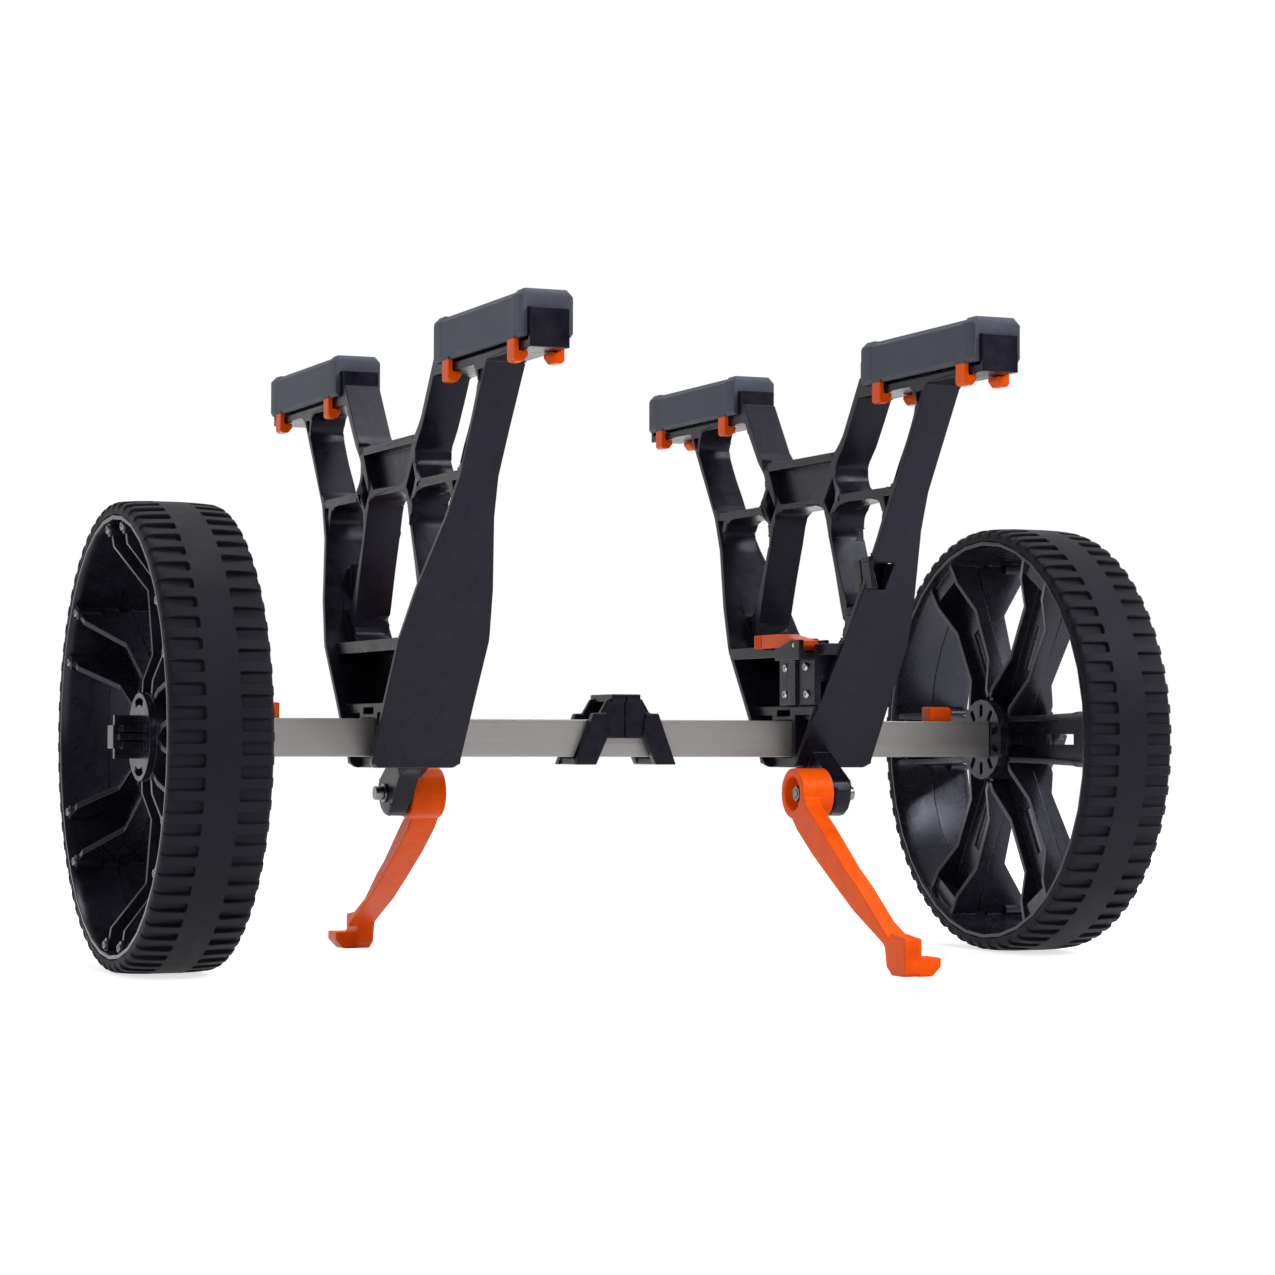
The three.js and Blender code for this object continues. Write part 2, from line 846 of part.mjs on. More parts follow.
function support_frame() {
  const right = [...in_lattice(flange_line_shares), ...in_lattice(arm_line_shares)];
  const outline = [...right, ...mirrored_in_y(right)];
  const cut_low = -lattice_half - cut_overrun;
  const cut_high = lattice_half + cut_overrun;
  const centre = in_lattice(centre_cell_shares);
  const holes = [
    along_x([...centre, ...mirrored_in_y(centre)], cut_low, cut_high),
    ...[upper_oval_shares, side_cell_shares]
      .flatMap((shares) => both_sides(in_lattice(shares)))
      .map((hole) => along_x(hole, cut_low, cut_high)),
  ];
  const [[bridge_y, bridge_z], [bridge_top_y, bridge_top_z]] = in_lattice(bridge_pocket_shares);
  const bridge = [
    [-bridge_y, bridge_z],
    [bridge_y, bridge_z],
    [bridge_top_y, bridge_top_z],
    [-bridge_top_y, bridge_top_z],
  ];
  const blind = [
    [[bridge], bridge_depth],
    [both_sides(in_lattice(diamond_shares).reverse()), diamond_depth],
    ...[top_gusset_shares, middle_gusset_shares, low_gusset_shares].map((shares) => [
      both_sides(in_lattice(shares).reverse()),
      pocket_depth,
    ]),
  ];
  const pockets = blind.flatMap(([outlines, depth]) =>
    outlines.flatMap((hole) => [
      along_x(hole, cut_low, depth - lattice_half),
      along_x(hole, lattice_half - depth, cut_high),
    ]),
  );
  const full = along_x(outline, -lattice_half, lattice_half);
  const thin = along_x(outline, -web_half, web_half);
  const upper_part = box(
    [cut_low, cut_high],
    [-lattice_length, lattice_length],
    [shelf_top - shelf_wall, lattice_rise + cut_overrun],
  );
  const webs = joined(cut(full.intersect(upper_part), ...holes, ...pockets), cut(thin, ...holes));
  const lattice = cut(joined(webs, stow_case()), stow_cut());
  const base_line = in_lattice(flange_line_shares)[0][0];
  const low_half = low_shelf_top - base_floor;
  const base_span = [-base_half, base_half];
  const base = shelf(low_shelf_top, low_half - fit_gap, ...base_span);
  const floor = box(base_span, [-base_line, base_line], [base_floor, base_floor + low_shelf_wall]);
  const channel_side = [-channel_half, channel_half];
  const channel = box(widened([-flange_half, flange_half], cut_overrun), channel_side, channel_side);
  const side_pockets = base_pockets();
  const lock_room = box(
    [-2 * flange_half, lock_back + fit_gap],
    widened(lock_span, fit_gap),
    [low_shelf_top, shelf_top + cut_overrun],
  );
  const lever_room = box(
    [-2 * flange_half, lever_span[1] + ear_gap],
    [lock_span[1], lever_tip + ear_gap],
    [lever_floor - fit_gap, shelf_top + cut_overrun],
  );
  const shoe_room = box(widened(shoe_x, fit_gap), widened(shoe_foot_y, fit_gap), [
    tube_half,
    low_shelf_top + cut_overrun,
  ]);
  const near_flange = cut(flange(-1, narrow_edge_shares), stow_cut());
  const lug_hole = round_bar(
    bolt_radius + fit_gap,
    ...widened(lug_span, cut_overrun),
    [pivot_y, pivot_z],
    hole_sides,
  );
  const shelves = shelf(shelf_top, shelf_wall, -flange_half, 0.78 * flange_half);
  const body = joined(
    lattice,
    shelves,
    cut(joined(base, floor), channel, ...side_pockets),
    rail(1),
    rail(-1),
    flange(1, wide_edge_shares),
    pivot_lug(),
    stow_lip(),
  );
  return joined(cut(body, lock_room, lever_room, shoe_room, lug_hole, channel), near_flange);
}

// The open pockets in the base's two ends, beside the tube
function base_pockets() {
  const rib = wall_thickness / 2;
  const inner = channel_half + wall_thickness;
  const [[low_y, low_z], [high_y, high_z]] = in_lattice(flange_line_shares);
  const flange_slope = (high_y - low_y) / (high_z - low_z);
  const flange_inside = (height) => low_y + flange_slope * (height - low_z) - wall_thickness;
  const pocket_low = -0.8 * tube_half;
  const pocket_high = low_shelf_top - low_shelf_wall;
  const outline = [
    [inner, pocket_high],
    [inner, pocket_low],
    [flange_inside(pocket_low), pocket_low],
    [flange_inside(pocket_high), pocket_high],
  ];
  const depth = base_half - 3 * web_half;
  const inboard = [-base_half - cut_overrun, depth - base_half];
  const outboard = [base_half - depth, base_half + cut_overrun];
  const window_half = channel_half - rib;
  const window_high = [
    [-window_half, channel_half + rib],
    [window_half, channel_half + rib],
    [window_half, low_shelf_top - rib],
    [-window_half, low_shelf_top - rib],
  ];
  return [inboard, outboard].flatMap(([low, high]) => [
    ...both_sides(outline).map((hole) => along_x(hole, low, high)),
    along_x(window_high, low, high),
  ]);
}

function lock_housing() {
  const [y_low, y_high] = lock_span;
  const block = box([lock_face, lock_back], lock_span, [lock_floor, lock_top]);
  const tower_middle = (shoe_post_y[0] + shoe_post_y[1]) / 2;
  const tower = box(
    [lock_face - 0.3 * tower_half, lock_face + lock_wall],
    [tower_middle - tower_half, tower_middle + tower_half],
    [lock_floor, lock_top],
  );
  const cavity = box(
    [lock_face + lock_wall, lock_back - lock_wall],
    [y_low + lock_wall, y_high - lock_wall],
    [lock_floor - cut_overrun, lock_top - lock_wall],
  );
  const lever_slot = box(
    widened(tongue_span, 2 * fit_gap),
    [shoe_post_y[0] - lock_wall, shoe_post_y[1] + 2 * lock_wall],
    [lock_top - lock_wall - cut_overrun, lock_top + cut_overrun],
  );
  const ear_outline = (front) => [
    [y_low, lock_top - 3 * lock_wall],
    [front, lock_top - 3 * lock_wall],
    [front, lock_top],
    [lever_pivot_y + 1.2 * ear_radius, lever_pivot_z + ear_radius],
    [y_low, lever_pivot_z + ear_radius],
  ];
  const shelf_plate = box(
    [ear_spans[0][0], lock_face + lock_wall],
    [y_low, shoe_post_y[1]],
    [lock_top - 3 * lock_wall, lock_top - 2 * lock_wall],
  );
  const ears = [
    along_x(ear_outline(shoe_post_y[1]), ...ear_spans[0]),
    along_x(ear_outline(shoe_post_y[0] - lock_wall), ...ear_spans[1]),
  ];
  const pin_hole = round_bar(
    pin_radius + fit_gap,
    ear_spans[0][0] - cut_overrun,
    ear_spans[1][1] + cut_overrun,
    [lever_pivot_y, lever_pivot_z],
    hole_sides,
  );
  const boss_room = box(
    widened(lever_span, fit_gap),
    [y_low - cut_overrun, lever_pivot_y + lever_boss_radius + 3 * fit_gap],
    [lever_pivot_z - lever_boss_radius - 3 * fit_gap, lock_top + cut_overrun],
  );
  const wall_span = widened([lock_face, lock_face + lock_wall], cut_overrun);
  const screw_holes = screw_places.map((place) =>
    round_bar(screw_radius + fit_gap / 2, ...wall_span, place, screw_sides),
  );
  const flange_line = in_lattice(flange_line_shares).map(([y, z]) => [wall_thickness + fit_gap - y, z]);
  const flange_side = along_x(
    [...flange_line, [-lattice_length, lattice_rise], [-lattice_length, base_floor]],
    ear_spans[1][0] - lock_wall,
    lock_back + cut_overrun,
  );
  const body = cut(joined(block, tower, shelf_plate), cavity, lever_slot, boss_room);
  return cut(joined(body, ...ears), pin_hole, flange_side, ...screw_holes);
}

function lock_lever() {
  const handle = [
    [lever_tip, lever_floor],
    [lever_tip, lever_top],
    [lever_slope_start, lever_top],
    [lever_pivot_y, lever_pivot_z + lever_boss_radius],
    [lever_pivot_y - 0.9 * lever_boss_radius, lever_pivot_z],
    [lever_pivot_y, lever_pivot_z - lever_boss_radius],
    [lever_pivot_y + lever_boss_radius, lever_floor],
  ].reverse();
  const arm = along_x(handle, ...lever_span);
  const tongue_y = widened(shoe_post_y, -tongue_margin);
  const bridge_span = [lever_span[1] - cut_overrun, tongue_span[1]];
  const bridge = box(bridge_span, tongue_y, [lever_floor, lever_top - tongue_margin]);
  const tongue = box(tongue_span, tongue_y, [tongue_floor, lever_floor + cut_overrun]);
  const hole = round_bar(
    pin_radius + fit_gap,
    ...widened(lever_span, cut_overrun),
    [lever_pivot_y, lever_pivot_z],
    hole_sides,
  );
  const grooves = [0, 1, 2].map((step) => {
    const middle = lever_tip - 4 * lever_groove - step * 4 * lever_groove;
    return box(
      [lever_span[0] - cut_overrun, lever_span[0] + lever_groove],
      widened([middle, middle], lever_groove / 2),
      [lever_floor - cut_overrun, lever_top + cut_overrun],
    );
  });
  return cut(joined(arm, bridge, tongue), hole, ...grooves);
}

function lever_pin() {
  return round_bar(pin_radius, ear_spans[0][0], ear_spans[1][1], [lever_pivot_y, lever_pivot_z], 12);
}

function clamp_shoe() {
  const foot = box(shoe_x, shoe_foot_y, [tube_half + fit_gap, shoe_foot_top]);
  const post = box(shoe_x, shoe_post_y, [shoe_foot_top - cut_overrun, shoe_post_top]);
  return joined(foot, post);
}

function lock_screw(place) {
  const seat = lock_face - fit_gap;
  const head = round_bar(screw_head_radius, seat - screw_head_height, seat, place, screw_sides + 2);
  const shank_span = [seat - screw_head_height / 2, lock_face + screw_reach];
  const shank = round_bar(screw_radius - fit_gap / 2, ...shank_span, place, screw_sides);
  return joined(head, shank);
}

// Kickstand: an orange lever with a hollow boss, an open-sided leg and a foot with a tab
const stand_face = -41.6;
const stand_boss_end = lug_span[0] - fit_gap;
const stand_boss_radius = 17.4;
const stand_recess_radius = 11.7;
const stand_recess_depth = 8;
const boss_sides = 28;
const leg_plate_end = -29.1;
const leg_wall_end = -22.1;
const leg_edge_wall = 4;
const foot_tab_end = -15.1;
const foot_length = 29;
const foot_heel_share = 0.53;
const foot_rise = 24.4;
const leg_length = 151;
const leg_drop = wheel_radius + pivot_z;

// Shares of the leg's length out from the pivot and of its drop below it
const leg_upper_shares = [
  [0.1, 0.0],
  [0.146, -0.073],
  [0.288, -0.195],
  [0.523, -0.422],
  [0.642, -0.517],
  [0.94, -0.796],
];
const leg_lower_shares = [
  [0.907, -0.862],
  [0.887, -0.831],
  [0.609, -0.666],
  [0.444, -0.544],
  [0.205, -0.361],
  [0.04, -0.212],
  [-0.02, -0.134],
];

function from_pivot(shares) {
  return shares.map(([out, down]) => [pivot_y - out * leg_length, pivot_z + down * leg_drop]);
}

function kickstand() {
  const centre = [pivot_y, pivot_z];
  const boss = round_bar(stand_boss_radius, stand_face, stand_boss_end, centre, boss_sides);
  const outline = from_pivot([...leg_upper_shares, ...leg_lower_shares]);
  const plate = along_x(outline, stand_face, leg_plate_end);
  const lower = from_pivot(leg_lower_shares);
  const raised = lower.map(([y, z]) => [y - 0.3 * leg_edge_wall, z + leg_edge_wall]).reverse();
  const edge = along_x([...lower, ...raised], leg_plate_end - cut_overrun, leg_wall_end);
  const ground = -wheel_radius;
  const foot_back = pivot_y - leg_length + foot_heel_share * foot_length;
  const foot_front = foot_back - foot_length;
  const block = along_x(
    [
      [foot_back, ground + 0.75 * foot_rise],
      [foot_back - 0.1 * foot_length, ground + 0.2 * foot_rise],
      [foot_back - 0.35 * foot_length, ground],
      [foot_front + 0.1 * foot_length, ground],
      [foot_front, ground + 0.1 * foot_rise],
      [foot_front, ground + foot_rise],
      [foot_front + 0.7 * foot_length, ground + 1.1 * foot_rise],
    ].reverse(),
    stand_face,
    leg_plate_end,
  );
  const tab_rise = 0.5 * foot_rise;
  const tab_profile = [
    [leg_plate_end - cut_overrun, ground],
    [foot_tab_end - 0.5 * tab_rise, ground],
    [foot_tab_end, ground + 0.5 * tab_rise],
    [foot_tab_end, ground + tab_rise],
    [leg_plate_end - cut_overrun, ground + tab_rise],
  ];
  const tab = along_y(tab_profile, foot_front, foot_back - 0.3 * foot_length);
  const recess_span = [stand_face - cut_overrun, stand_face + stand_recess_depth];
  const recess = round_bar(stand_recess_radius, ...recess_span, centre, hub_sides);
  const hole = round_bar(bolt_radius + fit_gap, stand_face, stand_boss_end + cut_overrun, centre, hole_sides);
  return cut(joined(boss, plate, edge, block, tab), recess, hole);
}

const bolt_head_radius = 4.75;
const bolt_head_height = 5.5;
const washer_radius = 6.5;
const washer_wall = 1.5;
const nut_radius = 5.6;
const nut_height = 5;

function kickstand_bolt() {
  const centre = [pivot_y, pivot_z];
  const seat = lug_span[1] + 2 * fit_gap + washer_wall;
  const tip = stand_face + stand_recess_depth - nut_height - 2 * fit_gap;
  const head = round_bar(bolt_head_radius, seat, seat + bolt_head_height, centre, hole_sides);
  const shank = round_bar(bolt_radius, tip, seat + bolt_head_height / 2, centre, hole_sides);
  return joined(head, shank);
}

function kickstand_washer() {
  const centre = [pivot_y, pivot_z];
  const start = lug_span[1] + fit_gap;
  const span = [start, start + washer_wall];
  const disc = round_bar(washer_radius, ...span, centre, hub_sides);
  const hole = round_bar(bolt_radius + fit_gap, ...widened(span, cut_overrun), centre, hole_sides);
  return cut(disc, hole);
}

function kickstand_nut() {
  const centre = [pivot_y, pivot_z];
  const seat = stand_face + stand_recess_depth - fit_gap;
  const span = [seat - nut_height, seat];
  const hexagon = round_bar(nut_radius, ...span, centre, 6);
  const hole = round_bar(bolt_radius + fit_gap, ...widened(span, cut_overrun), centre, hole_sides);
  return cut(hexagon, hole);
}

// Pad clip: an orange band over the rail whose two legs hook under it
const clip_wall = 3.5;
const clip_width = 12;
const clip_band = 2;
const clip_toe = 5.8;
const clip_drop = 7;
const clip_near_setback = 22;
const clip_far_setback = 19.5;
const clip_places = [pad_start + clip_near_setback, pad_end - clip_far_setback];
const clip_bevel = 3;

function pad_clip(y) {
  const inner = rail_half + fit_gap;
  const outer = inner + clip_wall;
  const top = rail_top + fit_gap + clip_band;
  const toe_top = rail_floor - fit_gap;
  const floor = toe_top - clip_drop + fit_gap;
  const leg = (hand) => {
    const outline = [
      [inner, top],
      [inner, toe_top],
      [inner - clip_toe, toe_top],
      [inner - clip_toe, toe_top - clip_bevel],
      [inner - clip_toe + clip_bevel, floor],
      [outer - clip_bevel / 2, floor],
      [outer, floor + clip_bevel / 2],
      [outer, top],
    ].map(([x, z]) => [hand * x, z]);
    return along_y(hand > 0 ? outline : outline.reverse(), y - clip_width / 2, y + clip_width / 2);
  };
  const width = [y - clip_width / 2, y + clip_width / 2];
  const band = box([-outer, outer], width, [rail_top + fit_gap, top]);
  return joined(leg(1), leg(-1), band);
}

// Bunk pad: a soft sleeve shaped like a U over the rail
const pad_half = 16.5;
const pad_skirt_rise = 6.8;
const pad_floor = rail_floor + pad_skirt_rise;
const pad_cover = 11.8;
const pad_top = rail_top + pad_cover;
const pad_bevel = 3.6;
const pad_low_bevel = 1.8;
const pad_low_rise = 4;

function bunk_pad() {
  const room = rail_half + fit_gap;
  const right = [
    [room, rail_top + fit_gap],
    [room, pad_floor],
    [pad_half - pad_low_bevel, pad_floor],
    [pad_half, pad_floor + pad_low_rise],
    [pad_half, pad_top - pad_bevel],
    [pad_half - pad_bevel, pad_top],
  ];
  const section = [...right, ...mirrored_in_y(right)];
  const sleeve = along_y(section, pad_start, pad_end);
  const side = [
    [pad_start, pad_floor - cut_overrun],
    [pad_end, pad_floor - cut_overrun],
    [pad_end, pad_top - pad_bevel],
    [pad_end - pad_bevel, pad_top],
    [pad_start + pad_bevel, pad_top],
    [pad_start, pad_top - pad_bevel],
  ];
  const trimmed = sleeve.intersect(along_x(side, -pad_half, pad_half));
  const clip_rooms = clip_places.map((y) => {
    const half = clip_width / 2 + fit_gap;
    const reach = rail_half + 2 * fit_gap + clip_wall;
    return box(
      [-reach, reach],
      [y - half, y + half],
      [pad_floor - cut_overrun, rail_top + clip_band + 2 * fit_gap],
    );
  });
  return cut(trimmed, ...clip_rooms);
}

// Centre saddle: two plastic halves that straddle the tube and leave a strap slot over it
const saddle_skirt = tube_half + fit_gap;
const saddle_plate_wall = 4.5;
const saddle_leg_wall = 7;
const saddle_plate_end = saddle_skirt + saddle_plate_wall;
const saddle_half = saddle_skirt + saddle_leg_wall;
const saddle_deck_wall = 4.7;
const saddle_bar = 5;
const saddle_floor = -saddle_skirt - saddle_bar;
const saddle_slot = 9.3;
const saddle_crown = saddle_skirt + saddle_deck_wall + saddle_slot;
const saddle_top_wall = 3;
const saddle_top_reach = 10.5;
const saddle_crown_reach = 12.5;
const saddle_waist_reach = 18.5;
const saddle_shoulder_reach = 24;
const saddle_shoulder_z = saddle_skirt + 0.8 * saddle_bar;
const saddle_leg_inner = 14;
const saddle_leg_lap = 2;
const saddle_foot_inner = 22;
const saddle_foot_reach = 37;

function centre_saddle_half() {
  const seam = fit_gap / 2;
  const plate = [
    [seam, 0],
    [saddle_leg_inner, 0],
    [saddle_waist_reach, saddle_shoulder_z],
    [saddle_crown_reach, saddle_crown],
    [seam, saddle_crown],
  ];
  const leg = [
    [saddle_leg_inner, 0],
    [saddle_foot_inner, saddle_floor],
    [saddle_foot_reach, saddle_floor],
    [saddle_shoulder_reach, saddle_shoulder_z],
    [saddle_crown_reach + saddle_leg_lap, saddle_shoulder_z],
    [saddle_leg_inner - saddle_leg_lap, saddle_leg_lap],
  ];
  const sides = [-1, 1].flatMap((hand) => {
    const span = (end) => (hand > 0 ? [saddle_skirt, end] : [-end, -saddle_skirt]);
    return [along_y(plate, ...span(saddle_plate_end)), along_y(leg, ...span(saddle_half))];
  });
  const width = [-saddle_half, saddle_half];
  const bar_heights = [saddle_crown - saddle_bar / 2, saddle_crown + saddle_top_wall];
  const bar_top = box([seam, saddle_top_reach], width, bar_heights);
  const deck = box(
    [seam, saddle_crown_reach + saddle_leg_lap],
    widened([-saddle_skirt, saddle_skirt], saddle_plate_wall / 2),
    [saddle_skirt, saddle_skirt + saddle_deck_wall],
  );
  const bar_foot = box(
    [saddle_foot_inner, saddle_foot_reach - saddle_leg_lap],
    width,
    [saddle_floor, saddle_floor + saddle_bar - fit_gap],
  );
  return joined(...sides, bar_top, deck, bar_foot);
}

// The cart, put together on its axle
const cart = new THREE.Group();
const axle_line = new THREE.Group();
axle_line.position.z = wheel_radius;
cart.add(axle_line);
axle_line.add(piece("axle_tube", satin_aluminium, axle_tube()));

const wheel_spins = { right: half_turn / spoke_count, left: 0 };
const end_turns = { right: 0, left: half_turn };
const pad_turns = { pad_b: 0, pad_a: half_turn };

function add_wheel(side, end) {
  const wheel = new THREE.Group();
  wheel.position.x = wheel_reach;
  wheel.rotation.x = wheel_spins[side];
  wheel.add(piece(`${side}_tyre`, tyre_rubber, tyre()));
  wheel.add(piece(`${side}_rim_outer_half`, black_plastic, rim_outer_half()));
  wheel.add(piece(`${side}_rim_inner_half`, black_plastic, rim_inner_half()));
  wheel.add(piece(`${side}_hub_bush`, bright_steel, hub_bush()));
  wheel.add(piece(`${side}_hub_cap`, black_plastic, hub_cap()));
  end.add(wheel);
}

function add_axle_end(side, end) {
  end.add(piece(`${side}_stub_axle`, bright_steel, stub_axle()));
  end.add(piece(`${side}_hub_collar`, black_plastic, hub_collar()));
  end.add(piece(`${side}_release_button`, orange_plastic, release_button()));
  end.add(piece(`${side}_button_spring`, bright_steel, button_spring()));
  end.add(piece(`${side}_saddle_half`, black_plastic, centre_saddle_half()));
}

function add_frame(side, end) {
  const frame = new THREE.Group();
  frame.position.x = frame_reach;
  frame.add(piece(`${side}_support_frame`, black_plastic, support_frame()));
  frame.add(piece(`${side}_kickstand`, orange_plastic, kickstand()));
  frame.add(piece(`${side}_kickstand_bolt`, bright_steel, kickstand_bolt()));
  frame.add(piece(`${side}_kickstand_washer`, bright_steel, kickstand_washer()));
  frame.add(piece(`${side}_kickstand_nut`, bright_steel, kickstand_nut()));
  frame.add(piece(`${side}_lock_housing`, black_plastic, lock_housing()));
  frame.add(piece(`${side}_lock_lever`, orange_plastic, lock_lever()));
  frame.add(piece(`${side}_lever_pin`, bright_steel, lever_pin()));
  frame.add(piece(`${side}_clamp_shoe`, black_plastic, clamp_shoe()));
  screw_places.forEach((place, number) => {
    frame.add(piece(`${side}_lock_screw_${number + 1}`, bright_steel, lock_screw(place)));
  });
  for (const [pad, turn] of Object.entries(pad_turns)) {
    const rail_line = new THREE.Group();
    rail_line.rotation.z = turn;
    rail_line.add(piece(`${side}_${pad}`, slate_pad, bunk_pad()));
    clip_places.forEach((y, place) => {
      rail_line.add(piece(`${side}_${pad}_clip_${place + 1}`, orange_plastic, pad_clip(y)));
    });
    frame.add(rail_line);
  }
  end.add(frame);
}

for (const [side, turn] of Object.entries(end_turns)) {
  const end = new THREE.Group();
  end.rotation.z = turn;
  axle_line.add(end);
  add_wheel(side, end);
  add_axle_end(side, end);
  add_frame(side, end);
}

export default cart;
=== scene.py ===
import json
import math

import bmesh
import bpy
from mathutils import Matrix, Vector

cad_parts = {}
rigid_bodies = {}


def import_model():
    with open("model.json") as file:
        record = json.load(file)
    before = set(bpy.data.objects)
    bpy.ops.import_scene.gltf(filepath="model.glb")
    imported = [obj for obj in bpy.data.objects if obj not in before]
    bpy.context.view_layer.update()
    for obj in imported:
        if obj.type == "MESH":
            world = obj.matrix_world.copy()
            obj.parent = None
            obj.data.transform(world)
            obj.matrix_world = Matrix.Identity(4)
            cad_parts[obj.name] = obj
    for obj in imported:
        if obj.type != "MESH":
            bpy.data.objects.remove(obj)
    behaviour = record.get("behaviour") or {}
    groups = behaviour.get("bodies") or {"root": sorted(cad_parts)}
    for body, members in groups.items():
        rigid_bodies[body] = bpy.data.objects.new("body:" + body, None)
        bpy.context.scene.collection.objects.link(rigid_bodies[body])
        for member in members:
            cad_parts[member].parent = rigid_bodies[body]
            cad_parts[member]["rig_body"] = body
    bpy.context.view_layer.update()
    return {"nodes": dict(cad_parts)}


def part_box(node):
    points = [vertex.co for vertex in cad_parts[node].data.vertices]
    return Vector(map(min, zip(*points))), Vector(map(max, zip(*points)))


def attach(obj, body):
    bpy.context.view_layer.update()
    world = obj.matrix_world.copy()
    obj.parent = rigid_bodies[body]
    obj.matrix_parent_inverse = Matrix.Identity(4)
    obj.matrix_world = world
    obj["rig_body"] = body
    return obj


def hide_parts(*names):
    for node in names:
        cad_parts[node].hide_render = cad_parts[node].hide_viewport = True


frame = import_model()
nodes = frame["nodes"]

# Camera: it stands low and to the left of the cart, a little over two metres off, as for the photograph.
# Its place and turn were found from the cart's own known points.
axle_height = 0.1524
below_axle = 0.00391
camera_place = Vector((-0.84754, -2.02032, axle_height - below_axle))
camera_yaw = 0.40410
camera_pitch = 0.0334
camera_roll = 0.0022
focal_pixels = 3188.67
picture_width = 1275
sensor = 36.0
sight_limit = 60

ahead = Vector(
    (
        math.sin(camera_yaw) * math.cos(camera_pitch),
        math.cos(camera_yaw) * math.cos(camera_pitch),
        math.sin(camera_pitch),
    )
)
level_right = Vector((math.cos(camera_yaw), -math.sin(camera_yaw), 0))
level_up = level_right.cross(ahead)
camera_right = level_right * math.cos(camera_roll) + level_up * math.sin(camera_roll)
camera_up = level_up * math.cos(camera_roll) - level_right * math.sin(camera_roll)

camera_data = bpy.data.cameras.new("camera")
camera_data.sensor_width = sensor
camera_data.lens = focal_pixels / picture_width * sensor
camera_data.clip_end = sight_limit
camera = bpy.data.objects.new("camera", camera_data)
bpy.context.scene.collection.objects.link(camera)
turn = Matrix((camera_right, camera_up, -ahead)).transposed()
camera.matrix_world = Matrix.Translation(camera_place) @ turn.to_4x4()
bpy.context.scene.camera = camera


# Studio: a white floor that fades into a white room and keeps the cart's shadow. The key lamp hangs at the
# front right, a weaker one at the left, one at the right and a long one overhead.
class Signal:
    """What runs along one wire between two nodes, with plain arithmetic on it."""

    def __init__(self, wiring, socket):
        self.wiring = wiring
        self.socket = socket

    def maths(self, operation, *values):
        return self.wiring.node("ShaderNodeMath", {"operation": operation}, list(values))

    def __add__(self, other):
        return self.maths("ADD", self, other)

    def __radd__(self, other):
        return self.maths("ADD", other, self)

    def __mul__(self, other):
        return self.maths("MULTIPLY", self, other)

    def __rmul__(self, other):
        return self.maths("MULTIPLY", other, self)

    def __truediv__(self, other):
        return self.maths("DIVIDE", self, other)

    def __rtruediv__(self, other):
        return self.maths("DIVIDE", other, self)

    def larger(self, other):
        return self.maths("MAXIMUM", self, other)


class Wiring:
    """The nodes of one finish or one repeated shape."""

    def __init__(self, tree):
        self.tree = tree

    def feed(self, socket, value):
        if isinstance(value, Signal):
            self.tree.links.new(value.socket, socket)
        else:
            socket.default_value = value

    def node(self, kind, settings=None, values=None, output=0):
        made = self.tree.nodes.new(kind)
        for name, value in (settings or {}).items():
            setattr(made, name, value)
        pairs = values.items() if isinstance(values, dict) else enumerate(values or [])
        for name, value in pairs:
            self.feed(made.inputs[name], value)
        return Signal(self, made.outputs[output])

    def blend(self, share, first, second):
        """A colour between two others."""
        settings = {"data_type": "RGBA", "clamp_factor": True}
        return self.node("ShaderNodeMix", settings, {0: share, 6: first, 7: second}, output=2)

    def spread(self, value, low, high, to_low, to_high):
        """A value moved from one range to another, and kept inside it."""
        return self.node("ShaderNodeMapRange", {"clamp": True}, [value, low, high, to_low, to_high])


def room_white(wiring, lit_share, glow):
    """White where the camera or a shiny surface looks, and the plain lit surface for everything else."""
    path = wiring.tree.nodes.new("ShaderNodeLightPath")
    seen = Signal(wiring, path.outputs["Is Camera Ray"])
    for name in ("Is Glossy Ray", "Is Transmission Ray"):
        seen = seen.larger(Signal(wiring, path.outputs[name]))
    return wiring.node("ShaderNodeMixShader", None, [seen, lit_share, glow])


white = (1, 1, 1, 1)
floor_grey = (0.8, 0.8, 0.8, 1)
floor_glow = 0.70
floor_reach = 9.0
room_light = 0.42
bright_side = (0.3, 0.95, 0.1)
dark_from = -0.4
bright_from = 0.7
dark_wall = 0.05
bright_wall = 1.0

floor_finish = bpy.data.materials.new("studio_floor")
floor_finish.use_nodes = True
floor_wiring = Wiring(floor_finish.node_tree)
floor_finish.node_tree.nodes.remove(floor_finish.node_tree.nodes["Principled BSDF"])
plain_floor = floor_wiring.node("ShaderNodeBsdfDiffuse", None, {"Color": floor_grey})
own_light = floor_wiring.node("ShaderNodeEmission", None, {"Color": white, "Strength": floor_glow})
bright_floor = floor_wiring.node("ShaderNodeAddShader", None, [plain_floor, own_light])
floor_surface = room_white(floor_wiring, plain_floor, bright_floor)
floor_end = floor_finish.node_tree.nodes["Material Output"]
floor_wiring.feed(floor_end.inputs["Surface"], floor_surface)

floor_mesh = bpy.data.meshes.new("studio_floor")
corners = [(-floor_reach, -floor_reach, 0), (floor_reach, -floor_reach, 0)]
corners += [(floor_reach, floor_reach, 0), (-floor_reach, floor_reach, 0)]
floor_mesh.from_pydata(corners, [], [(0, 1, 2, 3)])
floor_mesh.materials.append(floor_finish)
floor = bpy.data.objects.new("studio_floor", floor_mesh)
bpy.context.scene.collection.objects.link(floor)

